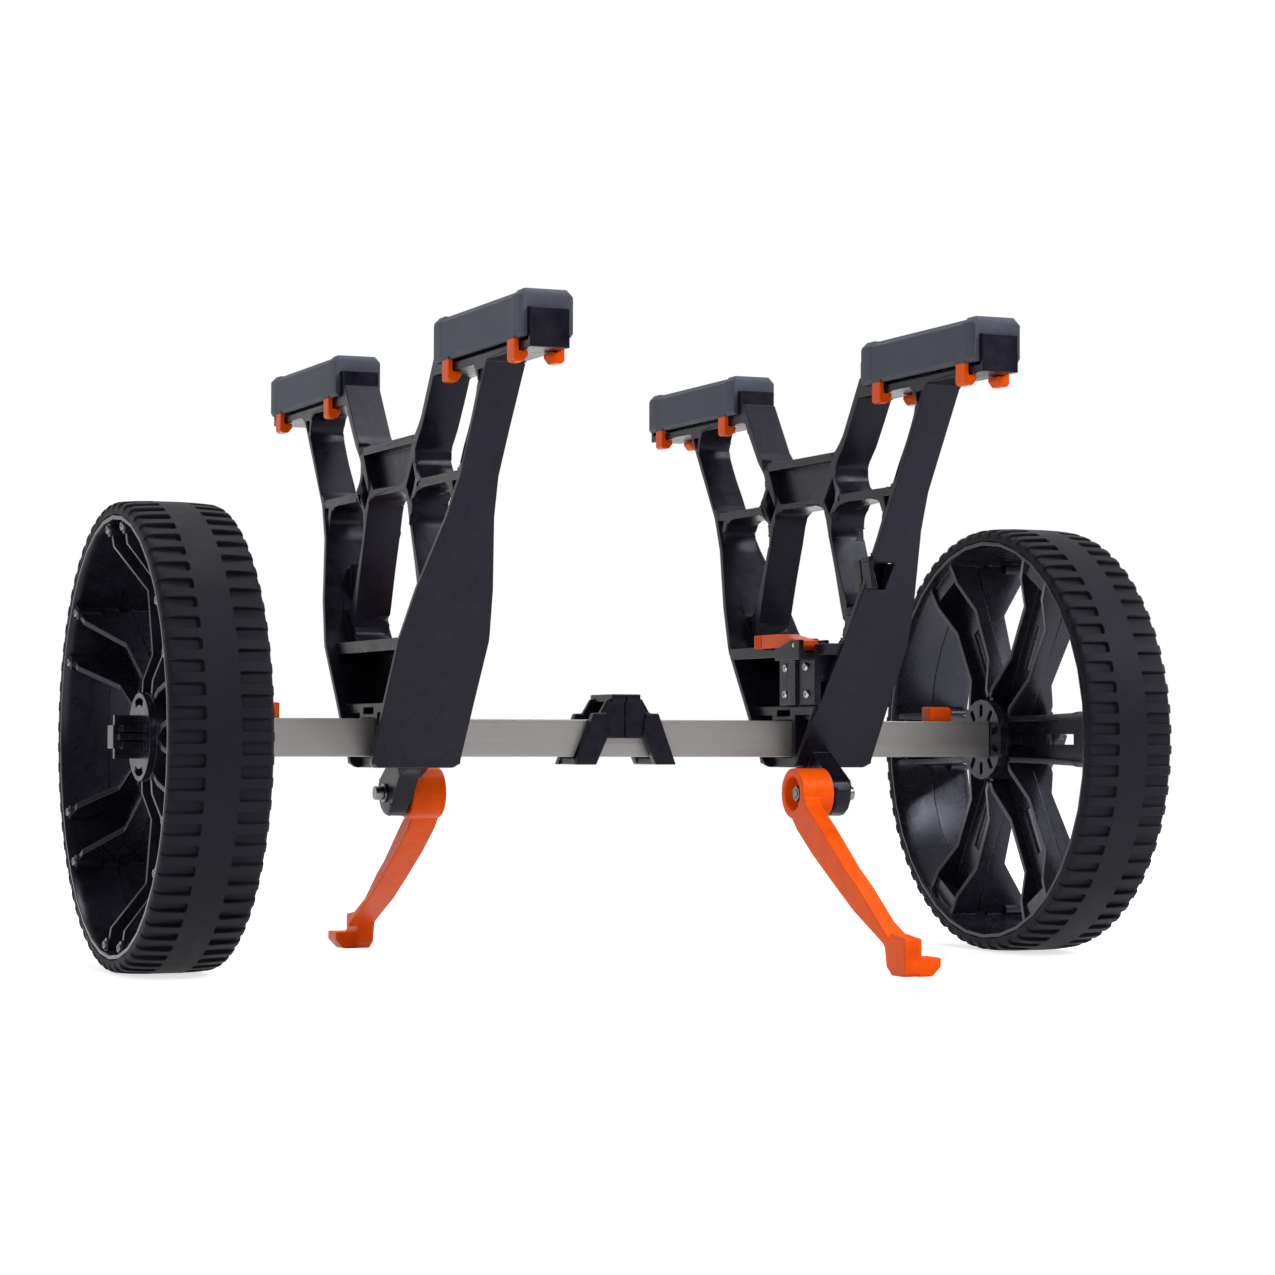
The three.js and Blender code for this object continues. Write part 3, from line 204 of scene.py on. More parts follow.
world = bpy.data.worlds.new("studio")
bpy.context.scene.world = world
world.use_nodes = True
world_wiring = Wiring(world.node_tree)
world.node_tree.nodes.remove(world.node_tree.nodes["Background"])
soft_light = world_wiring.node("ShaderNodeBackground", None, {"Color": white, "Strength": room_light})
direction = world_wiring.node("ShaderNodeTexCoord", output="Generated")
dot = {"operation": "DOT_PRODUCT"}
facing = world_wiring.node("ShaderNodeVectorMath", dot, [direction, bright_side], output="Value")
wall = world_wiring.spread(facing, dark_from, bright_from, dark_wall, bright_wall)
strength = world_wiring.node("ShaderNodeLightPath", output="Is Camera Ray").larger(wall)
white_room = world_wiring.node("ShaderNodeBackground", None, {"Color": white, "Strength": strength})
world_surface = room_white(world_wiring, soft_light, white_room)
world_wiring.feed(world.node_tree.nodes["World Output"].inputs["Surface"], world_surface)


lamp_aim = Vector((0, 0, 0.2))


def lamp(name, place, width, height, power):
    """A soft rectangular lamp, turned to the middle of the cart."""
    data = bpy.data.lights.new(name, "AREA")
    data.shape = "RECTANGLE"
    data.size = width
    data.size_y = height
    data.energy = power
    made = bpy.data.objects.new(name, data)
    bpy.context.scene.collection.objects.link(made)
    look = (lamp_aim - Vector(place)).to_track_quat("-Z", "Y")
    made.matrix_world = Matrix.Translation(place) @ look.to_matrix().to_4x4()


lamp("key_lamp", (1.25, -2.0, 2.1), width=1.1, height=0.8, power=56)
lamp("left_lamp", (-2.6, -1.8, 1.5), width=1.2, height=1.0, power=20)
lamp("right_lamp", (2.8, -0.3, 1.3), width=1.0, height=1.2, power=40)
lamp("top_lamp", (0.2, 0.3, 2.8), width=2.2, height=0.6, power=38)
bpy.context.scene.view_settings.view_transform = "Standard"


# Axle: one square tube of satin anodised aluminium, drawn with hairline streaks along its length,
# its long corners barely rounded and two slots cut in the top for the wheel release buttons.
tube_dark = (0.225, 0.214, 0.211, 1)
tube_pale = (0.345, 0.333, 0.327, 1)
weld_distance = 0.00001
flat_angle = math.radians(0.6)
sharp_angle = math.radians(25)
smooth_limit = 32


def finish_for(name, metallic=0.0, specular=0.5, tint=white):
    """A new finish with its node wiring, its surface and the place on the piece."""
    material = bpy.data.materials.new(name)
    material.use_nodes = True
    wiring = Wiring(material.node_tree)
    surface = material.node_tree.nodes["Principled BSDF"]
    surface.inputs["Metallic"].default_value = metallic
    surface.inputs["Specular IOR Level"].default_value = specular
    surface.inputs["Specular Tint"].default_value = tint
    place = wiring.node("ShaderNodeTexCoord", output="Object")
    return material, wiring, surface, place


def clouds(wiring, place, scale, detail, roughness=0.5):
    """Soft uneven patches, from 0 to 1."""
    values = {"Vector": place, "Scale": scale, "Detail": detail, "Roughness": roughness}
    return wiring.node("ShaderNodeTexNoise", None, values)


def stretched(wiring, place, shares):
    """The place drawn out along some axes, so that a pattern runs in lines."""
    return wiring.node("ShaderNodeMapping", None, {"Vector": place, "Scale": shares})


def raised(wiring, height, depth, strength):
    """A surface normal for a height in metres."""
    values = {"Height": height, "Distance": depth, "Strength": strength}
    return wiring.node("ShaderNodeBump", None, values)


def satin_tube():
    """Satin aluminium, streaked along the tube by the drawing die."""
    material, wiring, surface, place = finish_for("satin_anodised_tube", metallic=0.85)
    lines = clouds(wiring, stretched(wiring, place, (3, 900, 900)), 1.0, 2.0)
    fine = clouds(wiring, stretched(wiring, place, (9, 2600, 2600)), 1.0, 1.0)
    dull = clouds(wiring, place, 14, 4.0)
    tone = lines * 0.55 + fine * 0.25 + dull * 0.2
    wiring.feed(surface.inputs["Base Color"], wiring.blend(tone, tube_dark, tube_pale))
    wiring.feed(surface.inputs["Roughness"], wiring.spread(tone, 0.3, 0.7, 0.36, 0.5))
    wiring.feed(surface.inputs["Normal"], raised(wiring, lines + fine, 0.00002, 0.5))
    return material


def finished(name, mesh, body, smooth=smooth_limit, even=True):
    """A finished piece from a mesh that already lies in its place."""
    mesh.shade_smooth()
    mesh.set_sharp_from_angle(angle=math.radians(smooth))
    piece = bpy.data.objects.new(name, mesh)
    bpy.context.scene.collection.objects.link(piece)
    if even:
        weighted = piece.modifiers.new("even_faces", "WEIGHTED_NORMAL")
        weighted.keep_sharp = True
    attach(piece, body)
    return piece


def standing_for(node, name, mesh, smooth=smooth_limit, even=True):
    """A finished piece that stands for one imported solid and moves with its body."""
    piece = finished(name, mesh, nodes[node]["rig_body"], smooth, even)
    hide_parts(node)
    return piece


def rounded(shape, edges, radius, steps):
    """Rounds some edges of a shape, in a number of small flats."""
    bmesh.ops.bevel(
        shape, geom=edges, offset=radius, segments=steps, profile=0.5, affect="EDGES", clamp_overlap=False
    )


def in_order(shape, name):
    """A mesh of the shape, its points, edges and faces sorted, so that it is the same mesh each time."""
    for number, vert in enumerate(sorted(shape.verts, key=lambda vert: tuple(vert.co))):
        vert.index = number
    shape.verts.sort()
    for parts in (shape.edges, shape.faces):
        for number, part in enumerate(sorted(parts, key=lambda part: sorted(v.index for v in part.verts))):
            part.index = number
        parts.sort()
    mesh = bpy.data.meshes.new(name)
    shape.to_mesh(mesh)
    shape.free()
    return mesh


def moulded(node, finish, edge, steps=2, shaping=None):
    """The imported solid's own shape with its faces joined and its edges rounded, in place of that solid."""
    shape = bmesh.new()
    shape.from_mesh(nodes[node].data)
    bmesh.ops.remove_doubles(shape, verts=shape.verts, dist=weld_distance)
    bmesh.ops.dissolve_limit(shape, angle_limit=flat_angle, verts=shape.verts, edges=shape.edges)
    bmesh.ops.triangulate(shape, faces=shape.faces[:], quad_method="BEAUTY", ngon_method="BEAUTY")
    if shaping:
        shaping(shape)
    edges = [e for e in shape.edges if e.is_manifold and e.calc_face_angle() > sharp_angle]
    rounded(shape, edges, edge, steps)
    low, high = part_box(node)
    for vert in shape.verts:
        vert.co = [min(max(value, least), most) for value, least, most in zip(vert.co, low, high)]
    mesh = in_order(shape, node + "_finished")
    mesh.materials.append(finish)
    standing_for(node, node + "_finished", mesh)


def painted(node, finish):
    """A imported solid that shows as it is, in its finish."""
    nodes[node].data.materials.clear()
    nodes[node].data.materials.append(finish)


tube_finish = satin_tube()
moulded("axle_tube", tube_finish, edge=0.0007)


# Stub axles and release buttons: a steel shank slides into each tube end, its round spindle carries the
# wheel, and an orange sprung button in the tube's top slot locks it.
def plated_steel(name, dark, pale, rough):
    """Zinc plated steel, cloudy and finely scratched round the turned surfaces."""
    material, wiring, surface, place = finish_for(name, metallic=1.0)
    worn = clouds(wiring, place, 120, 4.0)
    scratch = clouds(wiring, stretched(wiring, place, (60, 900, 900)), 1.0, 2.0)
    wiring.feed(surface.inputs["Base Color"], wiring.blend(worn, dark, pale))
    gloss = wiring.spread(worn * 0.6 + scratch * 0.4, 0.3, 0.7, *rough)
    wiring.feed(surface.inputs["Roughness"], gloss)
    wiring.feed(surface.inputs["Normal"], raised(wiring, scratch, 0.00003, 0.4))
    return material


def moulded_plastic(name, dark, pale, rough, specular, grain, tint):
    """Moulded nylon: uneven in colour and gloss from the melt's flow, with a fine grain from the tool."""
    material, wiring, surface, place = finish_for(name, specular=specular, tint=tint)
    flow = clouds(wiring, stretched(wiring, place, (1, 1, 0.45)), 22, 5.0, 0.6)
    dust = clouds(wiring, place, 130, 4.0, 0.65)
    fine = clouds(wiring, place, 1900, 2.0)
    tone = flow * 0.6 + dust * 0.4
    colour = wiring.blend(wiring.spread(tone, 0.36, 0.66, 0.0, 1.0), dark, pale)
    wiring.feed(surface.inputs["Base Color"], colour)
    gloss = wiring.spread(flow * 0.5 + dust * 0.5, 0.35, 0.65, *rough)
    wiring.feed(surface.inputs["Roughness"], gloss)
    wiring.feed(surface.inputs["Normal"], raised(wiring, fine * 0.85 + dust * 0.15, grain, 0.6))
    return material


steel_finish = plated_steel(
    "plated_steel",
    dark=(0.34, 0.34, 0.35, 1),
    pale=(0.56, 0.55, 0.54, 1),
    rough=(0.22, 0.42),
)
screw_finish = plated_steel(
    "screw_steel",
    dark=(0.13, 0.13, 0.135, 1),
    pale=(0.26, 0.255, 0.25, 1),
    rough=(0.28, 0.46),
)
orange_finish = moulded_plastic(
    "orange_plastic",
    dark=(0.64, 0.058, 0.0005, 1),
    pale=(0.86, 0.100, 0.001, 1),
    rough=(0.30, 0.48),
    specular=0.15,
    grain=0.00004,
    tint=(1.0, 0.62, 0.4, 1),
)
for side in ("right", "left"):
    moulded(f"{side}_stub_axle", steel_finish, edge=0.0005)
    moulded(f"{side}_release_button", orange_finish, edge=0.0009, steps=3)
    painted(f"{side}_button_spring", steel_finish)


# Tyres: a solid band of black rubber round each wheel, smooth over its middle third. Both shoulders are cut
# into square bars, the bars of one shoulder standing beside the grooves of the other.
wheel_reach = 0.31965
wheel_radius = 0.1524
tyre_half = 0.03295
tyre_bore = 0.1433
band_half = 0.01098
tread_depth = 0.003
tread_bars = 66
ring_sides = 132
rubber_dark = (0.0030, 0.0026, 0.0040, 1)
rubber_pale = (0.0095, 0.0093, 0.0140, 1)
rubber_brown = (0.0110, 0.0082, 0.0085, 1)
cool = (0.8, 0.82, 1.0, 1)


def placed(points, side):
    """Points of one wheel or frame, drawn on the right, moved to their own side of the cart."""
    if side == "right":
        return [(x, y, z) for x, y, z in points]
    return [(-x, -y, z) for x, y, z in points]


def skin(rings, count, closed=False):
    """Faces between rings of points that follow one another, each ring of the same count."""
    faces = []
    for ring in range(rings if closed else rings - 1):
        here, there = ring * count, ((ring + 1) % rings) * count
        for k in range(count):
            after = (k + 1) % count
            faces.append((here + k, here + after, there + after, there + k))
    return faces


def turned_ring(outline, sides):
    """Points and faces of a closed outline of (x, radius) carried round the wheel's axle."""
    points = []
    for step in range(sides):
        angle = 2 * math.pi * step / sides
        points += [(x, radius * math.sin(angle), radius * math.cos(angle)) for x, radius in outline]
    return points, skin(sides, len(outline), closed=True)


def loose(name, mesh):
    """An object that lasts only while another piece is made from it."""
    made = bpy.data.objects.new(name, mesh)
    bpy.context.scene.collection.objects.link(made)
    return made


def drawn(name, points, faces):
    """A loose piece from points and faces, with every face turned outwards."""
    mesh = bpy.data.meshes.new(name)
    mesh.from_pydata(points, [], faces)
    shape = bmesh.new()
    shape.from_mesh(mesh)
    bmesh.ops.recalc_face_normals(shape, faces=shape.faces)
    shape.to_mesh(mesh)
    shape.free()
    return loose(name, mesh)


def two_ring_tree():
    """Copies of one piece in two rings round the X axis, the second ring turned end for end if asked."""
    tree = bpy.data.node_groups.new("two_rings", "GeometryNodeTree")
    sockets = [
        ("Base", "NodeSocketGeometry"),
        ("Piece", "NodeSocketObject"),
        ("Copies", "NodeSocketInt"),
        ("First turn", "NodeSocketFloat"),
        ("Second turn", "NodeSocketFloat"),
        ("Second flip", "NodeSocketFloat"),
        ("Finish", "NodeSocketMaterial"),
    ]
    for name, kind in sockets:
        tree.interface.new_socket(name, in_out="INPUT", socket_type=kind)
    tree.interface.new_socket("Geometry", in_out="OUTPUT", socket_type="NodeSocketGeometry")
    wiring = Wiring(tree)
    entry = tree.nodes.new("NodeGroupInput")
    asked = {name: Signal(wiring, entry.outputs[name]) for name, kind in sockets}
    piece = wiring.node("GeometryNodeObjectInfo", None, {"Object": asked["Piece"]}, output="Geometry")
    spots = wiring.node("GeometryNodePoints", None, {"Count": asked["Copies"]})
    step = wiring.node("GeometryNodeInputIndex") * (2 * math.pi) / asked["Copies"]
    rings = []
    for turn_by, flip in ((asked["First turn"], 0.0), (asked["Second turn"], asked["Second flip"])):
        angles = wiring.node("ShaderNodeCombineXYZ", None, {"X": step + turn_by, "Z": flip})
        values = {"Points": spots, "Instance": piece, "Rotation": angles}
        rings.append(wiring.node("GeometryNodeInstanceOnPoints", None, values))
    join = tree.nodes.new("GeometryNodeJoinGeometry")
    for part in (rings[1], rings[0], asked["Base"]):
        tree.links.new(part.socket, join.inputs[0])
    real = wiring.node("GeometryNodeRealizeInstances", None, [Signal(wiring, join.outputs[0])])
    done = wiring.node("GeometryNodeSetMaterial", None, {"Geometry": real, "Material": asked["Finish"]})
    leave = tree.nodes.new("NodeGroupOutput")
    tree.links.new(done.socket, leave.inputs["Geometry"])
    return tree


two_rings = two_ring_tree()


def ringed(base, piece, copies, first_turn, second_turn, flip, finish, name):
    """The plain mesh of a base with two rings of copies round it."""
    wanted = {
        "Piece": piece,
        "Copies": copies,
        "First turn": first_turn,
        "Second turn": second_turn,
        "Second flip": flip,
        "Finish": finish,
    }
    modifier = base.modifiers.new("rings", "NODES")
    modifier.node_group = two_rings
    for item in two_rings.interface.items_tree:
        if item.in_out == "INPUT" and item.name in wanted:
            modifier[item.identifier] = wanted[item.name]
    base.update_tag()
    bpy.context.view_layer.update()
    evaluated = base.evaluated_get(bpy.context.evaluated_depsgraph_get())
    mesh = bpy.data.meshes.new_from_object(evaluated)
    mesh.name = name
    base.modifiers.remove(modifier)
    bpy.data.objects.remove(base)
    bpy.data.objects.remove(piece)
    return mesh


def set_out(mesh, side, spin=0.0):
    """Puts a mesh drawn about the wheel's own middle in its place on the cart."""
    half_turn = 0.0 if side == "right" else math.pi
    place = Matrix.Translation((wheel_reach if side == "right" else -wheel_reach, 0, axle_height))
    mesh.transform(place @ Matrix.Rotation(half_turn, 4, "Z") @ Matrix.Rotation(spin, 4, "X"))


def tyre_finish():
    """Black rubber with a brown bloom, dusty and faintly ringed."""
    material, wiring, surface, place = finish_for("tyre_rubber", specular=0.15, tint=cool)
    mottle = clouds(wiring, place, 26, 5.0, 0.65)
    dust = clouds(wiring, place, 210, 4.0, 0.7)
    rings = clouds(wiring, stretched(wiring, place, (420, 6, 6)), 1.0, 2.0)
    grain = clouds(wiring, place, 1400, 2.0)
    tone = mottle * 0.5 + dust * 0.3 + rings * 0.2
    share = wiring.spread(tone, 0.36, 0.66, 0.0, 1.0)
    black = wiring.blend(share, rubber_dark, rubber_pale)
    bloom = wiring.spread(mottle, 0.52, 0.75, 0.0, 0.5)
    wiring.feed(surface.inputs["Base Color"], wiring.blend(bloom, black, rubber_brown))
    wiring.feed(surface.inputs["Roughness"], wiring.spread(tone, 0.35, 0.65, 0.5, 0.72))
    wiring.feed(surface.inputs["Normal"], raised(wiring, grain * 0.5 + dust * 0.5, 0.00008, 0.6))
    return material


rubber = tyre_finish()
carcass_side = tyre_half - 0.0003
carcass_half = [
    (carcass_side, tyre_bore),
    (carcass_side, 0.1470),
    (carcass_side - 0.0012, 0.1487),
    (carcass_side - 0.0030, wheel_radius - tread_depth),
    (band_half + 0.0006, wheel_radius - tread_depth),
    (band_half + 0.0001, wheel_radius - tread_depth + 0.0005),
    (band_half, wheel_radius - 0.0004),
    (band_half - 0.0004, wheel_radius),
    (0.0040, wheel_radius),
]
carcass_outline = carcass_half + [(-x, radius) for x, radius in reversed(carcass_half)]
bar_stations = [
    (band_half - 0.0004, 0.0050, 0.15230),
    (band_half + 0.0006, 0.0038, 0.15235),
    (band_half + 0.0016, 0.0033, 0.15230),
    (0.0210, 0.0032, 0.15200),
    (0.0285, 0.0031, 0.15140),
    (0.0312, 0.0031, 0.15050),
    (0.0326, 0.0030, 0.14880),
    (tyre_half, 0.0029, 0.14730),
]
bar_edge = 0.0005
bar_foot = 0.1460
bar_splay = 0.0004
bar_smooth = 38


def tread_bar():
    """One bar of the tread, drawn at the wheel's top: two soft edges and a splayed root at the band."""
    points = []
    for x, half, top in bar_stations:
        points += [
            (x, -half - bar_splay, bar_foot),
            (x, -half, top - bar_edge),
            (x, -half + bar_edge, top),
            (x, half - bar_edge, top),
            (x, half, top - bar_edge),
            (x, half + bar_splay, bar_foot),
        ]
    count = len(points) // len(bar_stations)
    last = len(points) - count
    faces = skin(len(bar_stations), count)
    faces += [tuple(reversed(range(count))), tuple(range(last, last + count))]
    return drawn("tread_bar", points, faces)


stagger = math.pi / tread_bars
for side in ("right", "left"):
    carcass = drawn(f"{side}_carcass", *turned_ring(carcass_outline, ring_sides))
    mesh = ringed(carcass, tread_bar(), tread_bars, 0.0, stagger, math.pi, rubber, f"{side}_tyre_tread")
    set_out(mesh, side)
    standing_for(f"{side}_tyre", f"{side}_tyre_tread", mesh, smooth=bar_smooth)


# Wheels: two halves moulded in black nylon, screwed together through six two-railed spokes. The outer half
# is open to its rails, and the inner half has a web with a slit behind each spoke. Both end in a thin
# flared rim.
wheel_plastic = moulded_plastic(
    "wheel_plastic",
    dark=(0.0040, 0.0040, 0.0070, 1),
    pale=(0.0130, 0.0130, 0.0200, 1),
    rough=(0.22, 0.32),
    specular=0.34,
    grain=0.00002,
    tint=cool,
)
for side in ("right", "left"):
    for half in ("outer", "inner"):
        moulded(f"{side}_rim_{half}_half", wheel_plastic, edge=0.0005)
    painted(f"{side}_hub_bush", steel_finish)


# Wheel screws: twelve plated pan head screws in each wheel, one on each small post at the two sides of
# every spoke's outer end, with a cross recess.
screw_round = 16
screw_head = 0.0030
screw_rise = 0.0018
screw_rings = ((-0.002, 1.0), (0.35, 1.0), (0.72, 0.94), (1.0, 0.76))
recess_arm = 0.0019
recess_half = 0.00045
recess_deep = 0.0012
recess_taper = 0.8
post_radius = 0.136
post_spread = 0.019
post_top = 0.0299
screws_a_ring = 6


def cross_head_screw(name, base, centre):
    """A pan head screw that faces +X, its seat at base and its middle at the height centre."""
    shape = bmesh.new()
    rings = []
    for rise, radius in screw_rings:
        ring = []
        for step in range(screw_round):
            angle = 2 * math.pi * step / screw_round
            reach = radius * screw_head
            place = (base + rise * screw_rise, reach * math.cos(angle), centre + reach * math.sin(angle))
            ring.append(shape.verts.new(place))
        rings.append(ring)
    for low, high in zip(rings, rings[1:]):
        for k in range(screw_round):
            after = (k + 1) % screw_round
            shape.faces.new((low[k], low[after], high[after], high[k]))
    shape.faces.new(list(reversed(rings[0])))
    arm, half = recess_arm, recess_half
    corners = [(arm, half), (half, half), (half, arm), (-half, arm), (-half, half), (-arm, half)]
    corners += [(-across, -up) for across, up in corners]
    top = base + screw_rise
    mouth = [shape.verts.new((top, across, centre + up)) for across, up in corners]
    bottom = []
    for across, up in corners:
        place = (top - recess_deep, recess_taper * across, centre + recess_taper * up)
        bottom.append(shape.verts.new(place))
    borders = []
    for k in range(len(mouth)):
        after = (k + 1) % len(mouth)
        shape.faces.new((mouth[k], mouth[after], bottom[after], bottom[k]))
        borders.append(shape.edges.get((mouth[k], mouth[after])))
    shape.faces.new(bottom)
    for k in range(screw_round):
        borders.append(shape.edges.get((rings[-1][k], rings[-1][(k + 1) % screw_round])))
    bmesh.ops.triangle_fill(shape, edges=borders, use_beauty=True, use_dissolve=False)
    bmesh.ops.recalc_face_normals(shape, faces=shape.faces)
    mesh = bpy.data.meshes.new(name)
    shape.to_mesh(mesh)
    shape.free()
    return mesh


post_tilt = math.asin(post_spread / post_radius)
spoke_spins = {"right": math.pi / 6, "left": 0.0}
for side in ("right", "left"):
    name = f"{side}_wheel_screws"
    screw = loose("wheel_screw", cross_head_screw("wheel_screw", post_top, post_radius))
    base = drawn(f"{side}_screw_ring", [], [])
    mesh = ringed(base, screw, screws_a_ring, post_tilt, -post_tilt, 0.0, screw_finish, name)
    set_out(mesh, side, spoke_spins[side])
    finished(name, mesh, f"{side}_wheel", even=False)


# Hub caps and collars: a slotted disc with a finned square plug closes the outer side of the hub. A disc
# pierced by ten oval holes parts the hub from the end of the tube.
hole_round = 0.0019
hole_corner = math.radians(60)


def direction_of(edge):
    """The way that an edge runs."""
    return (edge.verts[1].co - edge.verts[0].co).normalized()


def oval_holes(shape):
    """Rounds the four corners of each of the collar's holes, so that they are ovals."""
    picked = []
    for edge in shape.edges:
        if edge.is_manifold and abs(direction_of(edge).x) > 0.999 and edge.calc_face_angle() > hole_corner:
            picked.append(edge)
    rounded(shape, picked, hole_round, steps=4)


for side in ("right", "left"):
    moulded(f"{side}_hub_cap", wheel_plastic, edge=0.0004)
    moulded(f"{side}_hub_collar", wheel_plastic, edge=0.0002, shaping=oval_holes)


# Centre saddle: two black nylon clamshells that meet over the middle of the tube, with a strap slot between
# their splayed legs and feet that wrap under the tube.
frame_plastic = moulded_plastic(
    "frame_plastic",
    dark=(0.0036, 0.0030, 0.0058, 1),
    pale=(0.0120, 0.0105, 0.0180, 1),
    rough=(0.22, 0.40),
    specular=0.16,
    grain=0.00004,
    tint=cool,
)
for side in ("right", "left"):
    moulded(f"{side}_saddle_half", frame_plastic, edge=0.0009, steps=3)


# Support frames: each is one large nylon moulding that slides on the tube, with walled cells, ovals and a
# bridge between its two arms, a thin plate down each sloping side and a square rail at the top of each arm.
frame_reach = 0.1531
cell_rounds = (0.0085, 0.0062, 0.0045, 0.0033, 0.0024, 0.0016)
cell_corner_low = math.radians(14)
cell_corner_high = math.radians(72)
cell_depth = 0.004
room_share = 2.1
least_room = 0.0001
plate_corner = math.radians(50)
plate_low = axle_height - 0.012
plate_side = 0.028
plate_round = 0.0045
lug_low = axle_height - 0.034
lug_round = 0.0032
pivot_y = 0.048
pivot_z = axle_height - 0.0376
pivot_clear = 0.010
stow_low = axle_height + 0.1010
stow_high = axle_height + 0.1185
stow_faces = (0.0029, 0.0052)
corner_steps = 5


def corner_room(edge):
    """How far a corner between two walls can be rounded before it meets the next corner."""
    run = direction_of(edge)
    room = []
    for face in edge.link_faces:
        for corner in face.verts:
            away = corner.co - edge.verts[0].co
            across = (away - run * away.dot(run)).length
            if across > least_room:
                room.append(across)
    return min(room, default=0.0)


def round_plates(shape):
    """Rounds the bottom corners of the two plates and the foot of the lug that carries the stand."""
    corners, lug_edges = [], []
    for edge in shape.edges:
        if not edge.is_manifold or edge.calc_face_angle() < plate_corner:
            continue
        first, last = edge.verts[0].co, edge.verts[1].co
        run = direction_of(edge)
        middle = (first + last) / 2
        outside = abs(abs(middle.x) - frame_reach) > plate_side
        if abs(run.y) > 0.99 and middle.z < plate_low and outside:
            corners.append(edge)
        off_pivot = math.hypot(abs(middle.y) - pivot_y, middle.z - pivot_z)
        if max(first.z, last.z) < lug_low and abs(run.x) < 0.01 and off_pivot > pivot_clear:
            lug_edges.append(edge)
    rounded(shape, corners, plate_round, corner_steps)
    rounded(shape, [edge for edge in lug_edges if edge.is_valid], lug_round, corner_steps)


def round_cells(shape):
    """Rounds the corners of the cells and of the outline, which all run along the tube's direction."""
    for radius in cell_rounds:
        picked = []
        for edge in shape.edges:
            run = edge.verts[1].co - edge.verts[0].co
            if not edge.is_manifold or run.length < cell_depth or abs(run.normalized().x) < 0.9999:
                continue
            if cell_corner_low < edge.calc_face_angle() < cell_corner_high:
                if corner_room(edge) > room_share * radius:
                    picked.append(edge)
        rounded(shape, picked, radius, corner_steps)


def stow_wall(shape, side):
    """The thin wall beside the pocket that parks the folded stand's foot, behind the frame's near plate."""
    outline = [(-0.1025, stow_low), (-0.0995, stow_low), (-0.1000, stow_high), (-0.1140, stow_high)]
    points = [(frame_reach + x, y, z) for x in stow_faces for y, z in outline]
    corners = [shape.verts.new(point) for point in placed(points, side)]
    faces = [corners[:4], corners[4:]]
    for k in range(4):
        after = (k + 1) % 4
        faces.append([corners[k], corners[after], corners[after + 4], corners[k + 4]])
    made = [shape.faces.new(face) for face in faces]
    bmesh.ops.recalc_face_normals(shape, faces=made)


def frame_shape(shape, side):
    """What is added to a frame's solid before its edges are rounded."""
    round_plates(shape)
    round_cells(shape)
    stow_wall(shape, side)


for side in ("right", "left"):
    moulded(
        f"{side}_support_frame",
        frame_plastic,
        edge=0.0006,
        shaping=lambda shape: frame_shape(shape, side),
    )


# Locks: a nylon housing held to each frame by four screws. Its orange lever turns on a steel pin, and
# lifting the thumb end draws the shoe off the tube.
screw_turn = 0.5
for side in ("right", "left"):
    moulded(f"{side}_lock_housing", frame_plastic, edge=0.0006)
    moulded(f"{side}_clamp_shoe", frame_plastic, edge=0.0004)
    moulded(f"{side}_lock_lever", orange_finish, edge=0.0008, steps=3)
    moulded(f"{side}_lever_pin", steel_finish, edge=0.0003)
    for number in (1, 2, 3, 4):
        node = f"{side}_lock_screw_{number}"
        low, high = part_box(node)
        middle = (low + high) / 2
        facing, face, half_turn = (-1, low.x, math.pi) if side == "right" else (1, high.x, 0.0)
        mesh = cross_head_screw(node + "_head", 0.0, 0.0)
        turn = Matrix.Rotation(half_turn, 4, "Z") @ Matrix.Rotation(screw_turn, 4, "X")
        mesh.transform(Matrix.Translation((face - facing * screw_rise, middle.y, middle.z)) @ turn)
        mesh.materials.append(steel_finish)
        standing_for(node, node + "_finished", mesh, even=False)


# Kickstands: orange nylon legs with a hollow boss, an open channel down the leg and a hooked foot, each
# turning on a plated bolt with a washer and a nut.
for side in ("right", "left"):
    moulded(f"{side}_kickstand", orange_finish, edge=0.0011, steps=3)
    for name in ("bolt", "washer", "nut"):
        moulded(f"{side}_kickstand_{name}", screw_finish, edge=0.0003)


# Bunk pads: slate foam rubber sleeves pushed over the four rails, thicker at their two ends, with the top
# edges cut off at a slant and the skirts coming down over the orange clips.
foam_dark = (0.030, 0.035, 0.053, 1)
foam_pale = (0.053, 0.061, 0.088, 1)
foam_smooth = 40
pad_start = 0.102
pad_end = 0.2595
pad_low = axle_height + 0.2385
pad_high = axle_height + 0.2675
pad_half = 0.0170
pad_slant = 0.0036
pad_round = 0.0011
pad_corner = math.radians(24)
pad_side = pad_half - 0.002
pad_shoulder = pad_half - 0.0052
skirt_in = 0.0016
skirt_up = 0.0026
nose_length = 0.0034
nose_in = 0.0008
nose_slant = 0.0016
end_block = 0.0145
step_length = 0.0022
step_in = 0.0003
step_down = 0.0009
sleeve_half = 0.0131
sleeve_top = axle_height + 0.2560
clip_half = 0.0063
clip_room_half = 0.01665
clip_room_top = axle_height + 0.2584
pad_roof = clip_room_top + 0.002
clip_step = 0.0001
clip_middles = [0.124, 0.240]


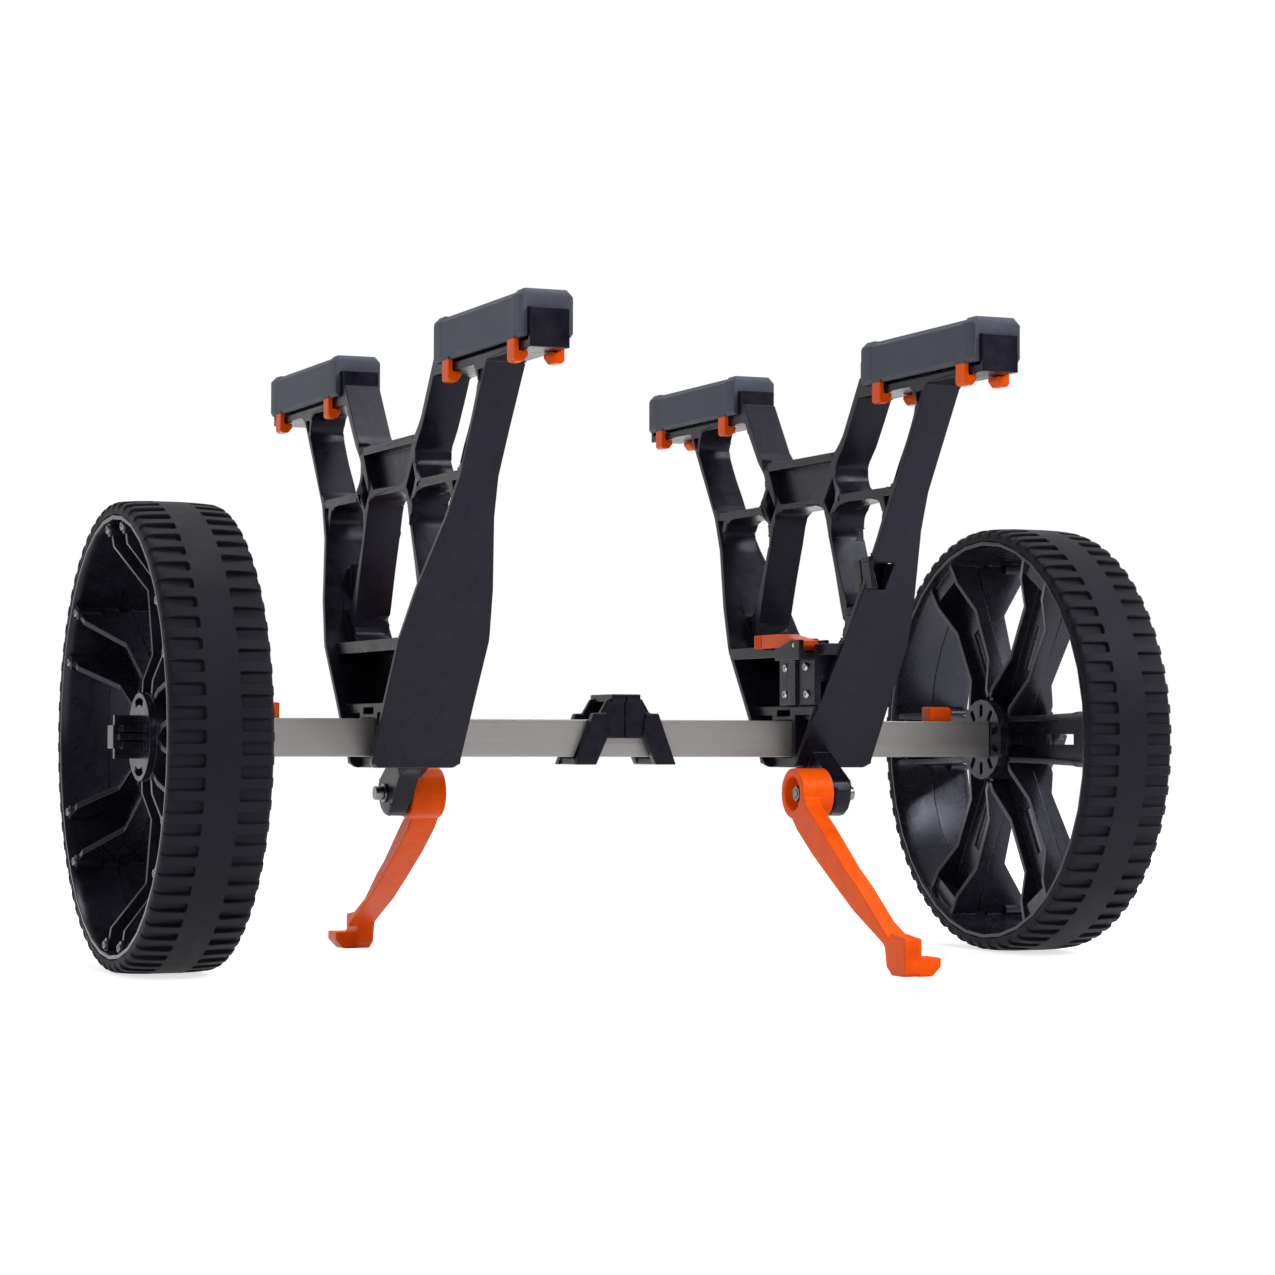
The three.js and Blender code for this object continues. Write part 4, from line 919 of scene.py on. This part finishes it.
def foam_skin():
    """Dull slate foam, mottled, rubbed along its length and finely pored."""
    material, wiring, surface, place = finish_for("pad_foam", specular=0.3)
    mottle = clouds(wiring, place, 34, 5.0, 0.6)
    rub = clouds(wiring, stretched(wiring, place, (1, 0.3, 1)), 150, 4.0, 0.65)
    pores = clouds(wiring, place, 1500, 3.0, 0.7)
    tone = mottle * 0.55 + rub * 0.45
    share = wiring.spread(tone, 0.36, 0.66, 0.0, 1.0)
    wiring.feed(surface.inputs["Base Color"], wiring.blend(share, foam_dark, foam_pale))
    wiring.feed(surface.inputs["Roughness"], wiring.spread(tone, 0.35, 0.65, 0.5, 0.68))
    wiring.feed(surface.inputs["Normal"], raised(wiring, pores, 0.00008, 0.6))
    return material


def pad_section(half, top, slant, room_half, room_top):
    """The pad's outline across the rail, from one skirt over the top to the other and back inside."""
    right_side = [
        (room_half, room_top),
        (room_half, pad_low),
        (half - skirt_in, pad_low),
        (half, pad_low + skirt_up),
        (half, top - slant),
        (half - slant, top),
    ]
    return right_side + [(-across, up) for across, up in reversed(right_side)]


def pad_stations():
    """The pad's outlines from one end to the other, with room inside for each clip."""
    nose = (pad_half - nose_in, pad_high - pad_slant, nose_slant)
    block = (pad_half, pad_high, pad_slant)
    waist = (pad_half - step_in, pad_high - step_down, pad_slant)
    stops = [
        (pad_start, *nose),
        (pad_start + nose_length, *block),
        (pad_start + end_block, *block),
        (pad_start + end_block + step_length, *waist),
        (pad_end - end_block - step_length, *waist),
        (pad_end - end_block, *block),
        (pad_end - nose_length, *block),
        (pad_end, *nose),
    ]

    def form_at(y):
        for low, high in zip(stops, stops[1:]):
            if low[0] <= y <= high[0]:
                share = (y - low[0]) / (high[0] - low[0])
                return [a + share * (b - a) for a, b in zip(low[1:], high[1:])]

    rooms = [(y - clip_half, y + clip_half) for y in clip_middles]
    places = [stop[0] for stop in stops]
    for low, high in rooms:
        places += [low - clip_step, low, high, high + clip_step]
    made = []
    for y in sorted(places):
        in_room = any(low <= y <= high for low, high in rooms)
        room = (clip_room_half, clip_room_top) if in_room else (sleeve_half, sleeve_top)
        made.append((y, pad_section(*form_at(y), *room)))
    return made


def outer_edge(edge, side):
    """True on the pad's outside, and not in the room for the rail and its clips."""
    middle = placed([tuple((edge.verts[0].co + edge.verts[1].co) / 2)], side)[0]
    across = abs(middle[0] - frame_reach)
    return across > pad_shoulder and (across > pad_side or middle[2] > pad_roof)


def bunk_pad(side, hand):
    """One pad, drawn over the right frame's rail and moved to its own side."""
    stations = pad_stations()
    points = [(hand * across, hand * y, up) for y, section in stations for across, up in section]
    points = [(x + frame_reach, y, z) for x, y, z in points]
    count = len(stations[0][1])
    last = (len(stations) - 1) * count
    faces = skin(len(stations), count)
    faces += [tuple(range(count)), tuple(range(last, last + count))]
    mesh = bpy.data.meshes.new("bunk_pad")
    mesh.from_pydata(placed(points, side), [], faces)
    shape = bmesh.new()
    shape.from_mesh(mesh)
    bmesh.ops.recalc_face_normals(shape, faces=shape.faces)
    edges = [e for e in shape.edges if e.calc_face_angle() > pad_corner and outer_edge(e, side)]
    bmesh.ops.bevel(
        shape, geom=edges, offset=pad_round, segments=3, profile=0.6, affect="EDGES", clamp_overlap=True
    )
    shape.to_mesh(mesh)
    shape.free()
    return mesh


pad_skin = foam_skin()
for side in ("right", "left"):
    for pad, hand in (("pad_b", 1), ("pad_a", -1)):
        node = f"{side}_{pad}"
        mesh = bunk_pad(side, hand)
        mesh.materials.append(pad_skin)
        piece = standing_for(node, node + "_foam", mesh, smooth=foam_smooth)


# Pad clips: orange nylon straps that pass over each rail under the pad and hook in below it on both sides.
for side in ("right", "left"):
    for pad in ("pad_b", "pad_a"):
        for number in (1, 2):
            moulded(f"{side}_{pad}_clip_{number}", orange_finish, edge=0.0008, steps=3)
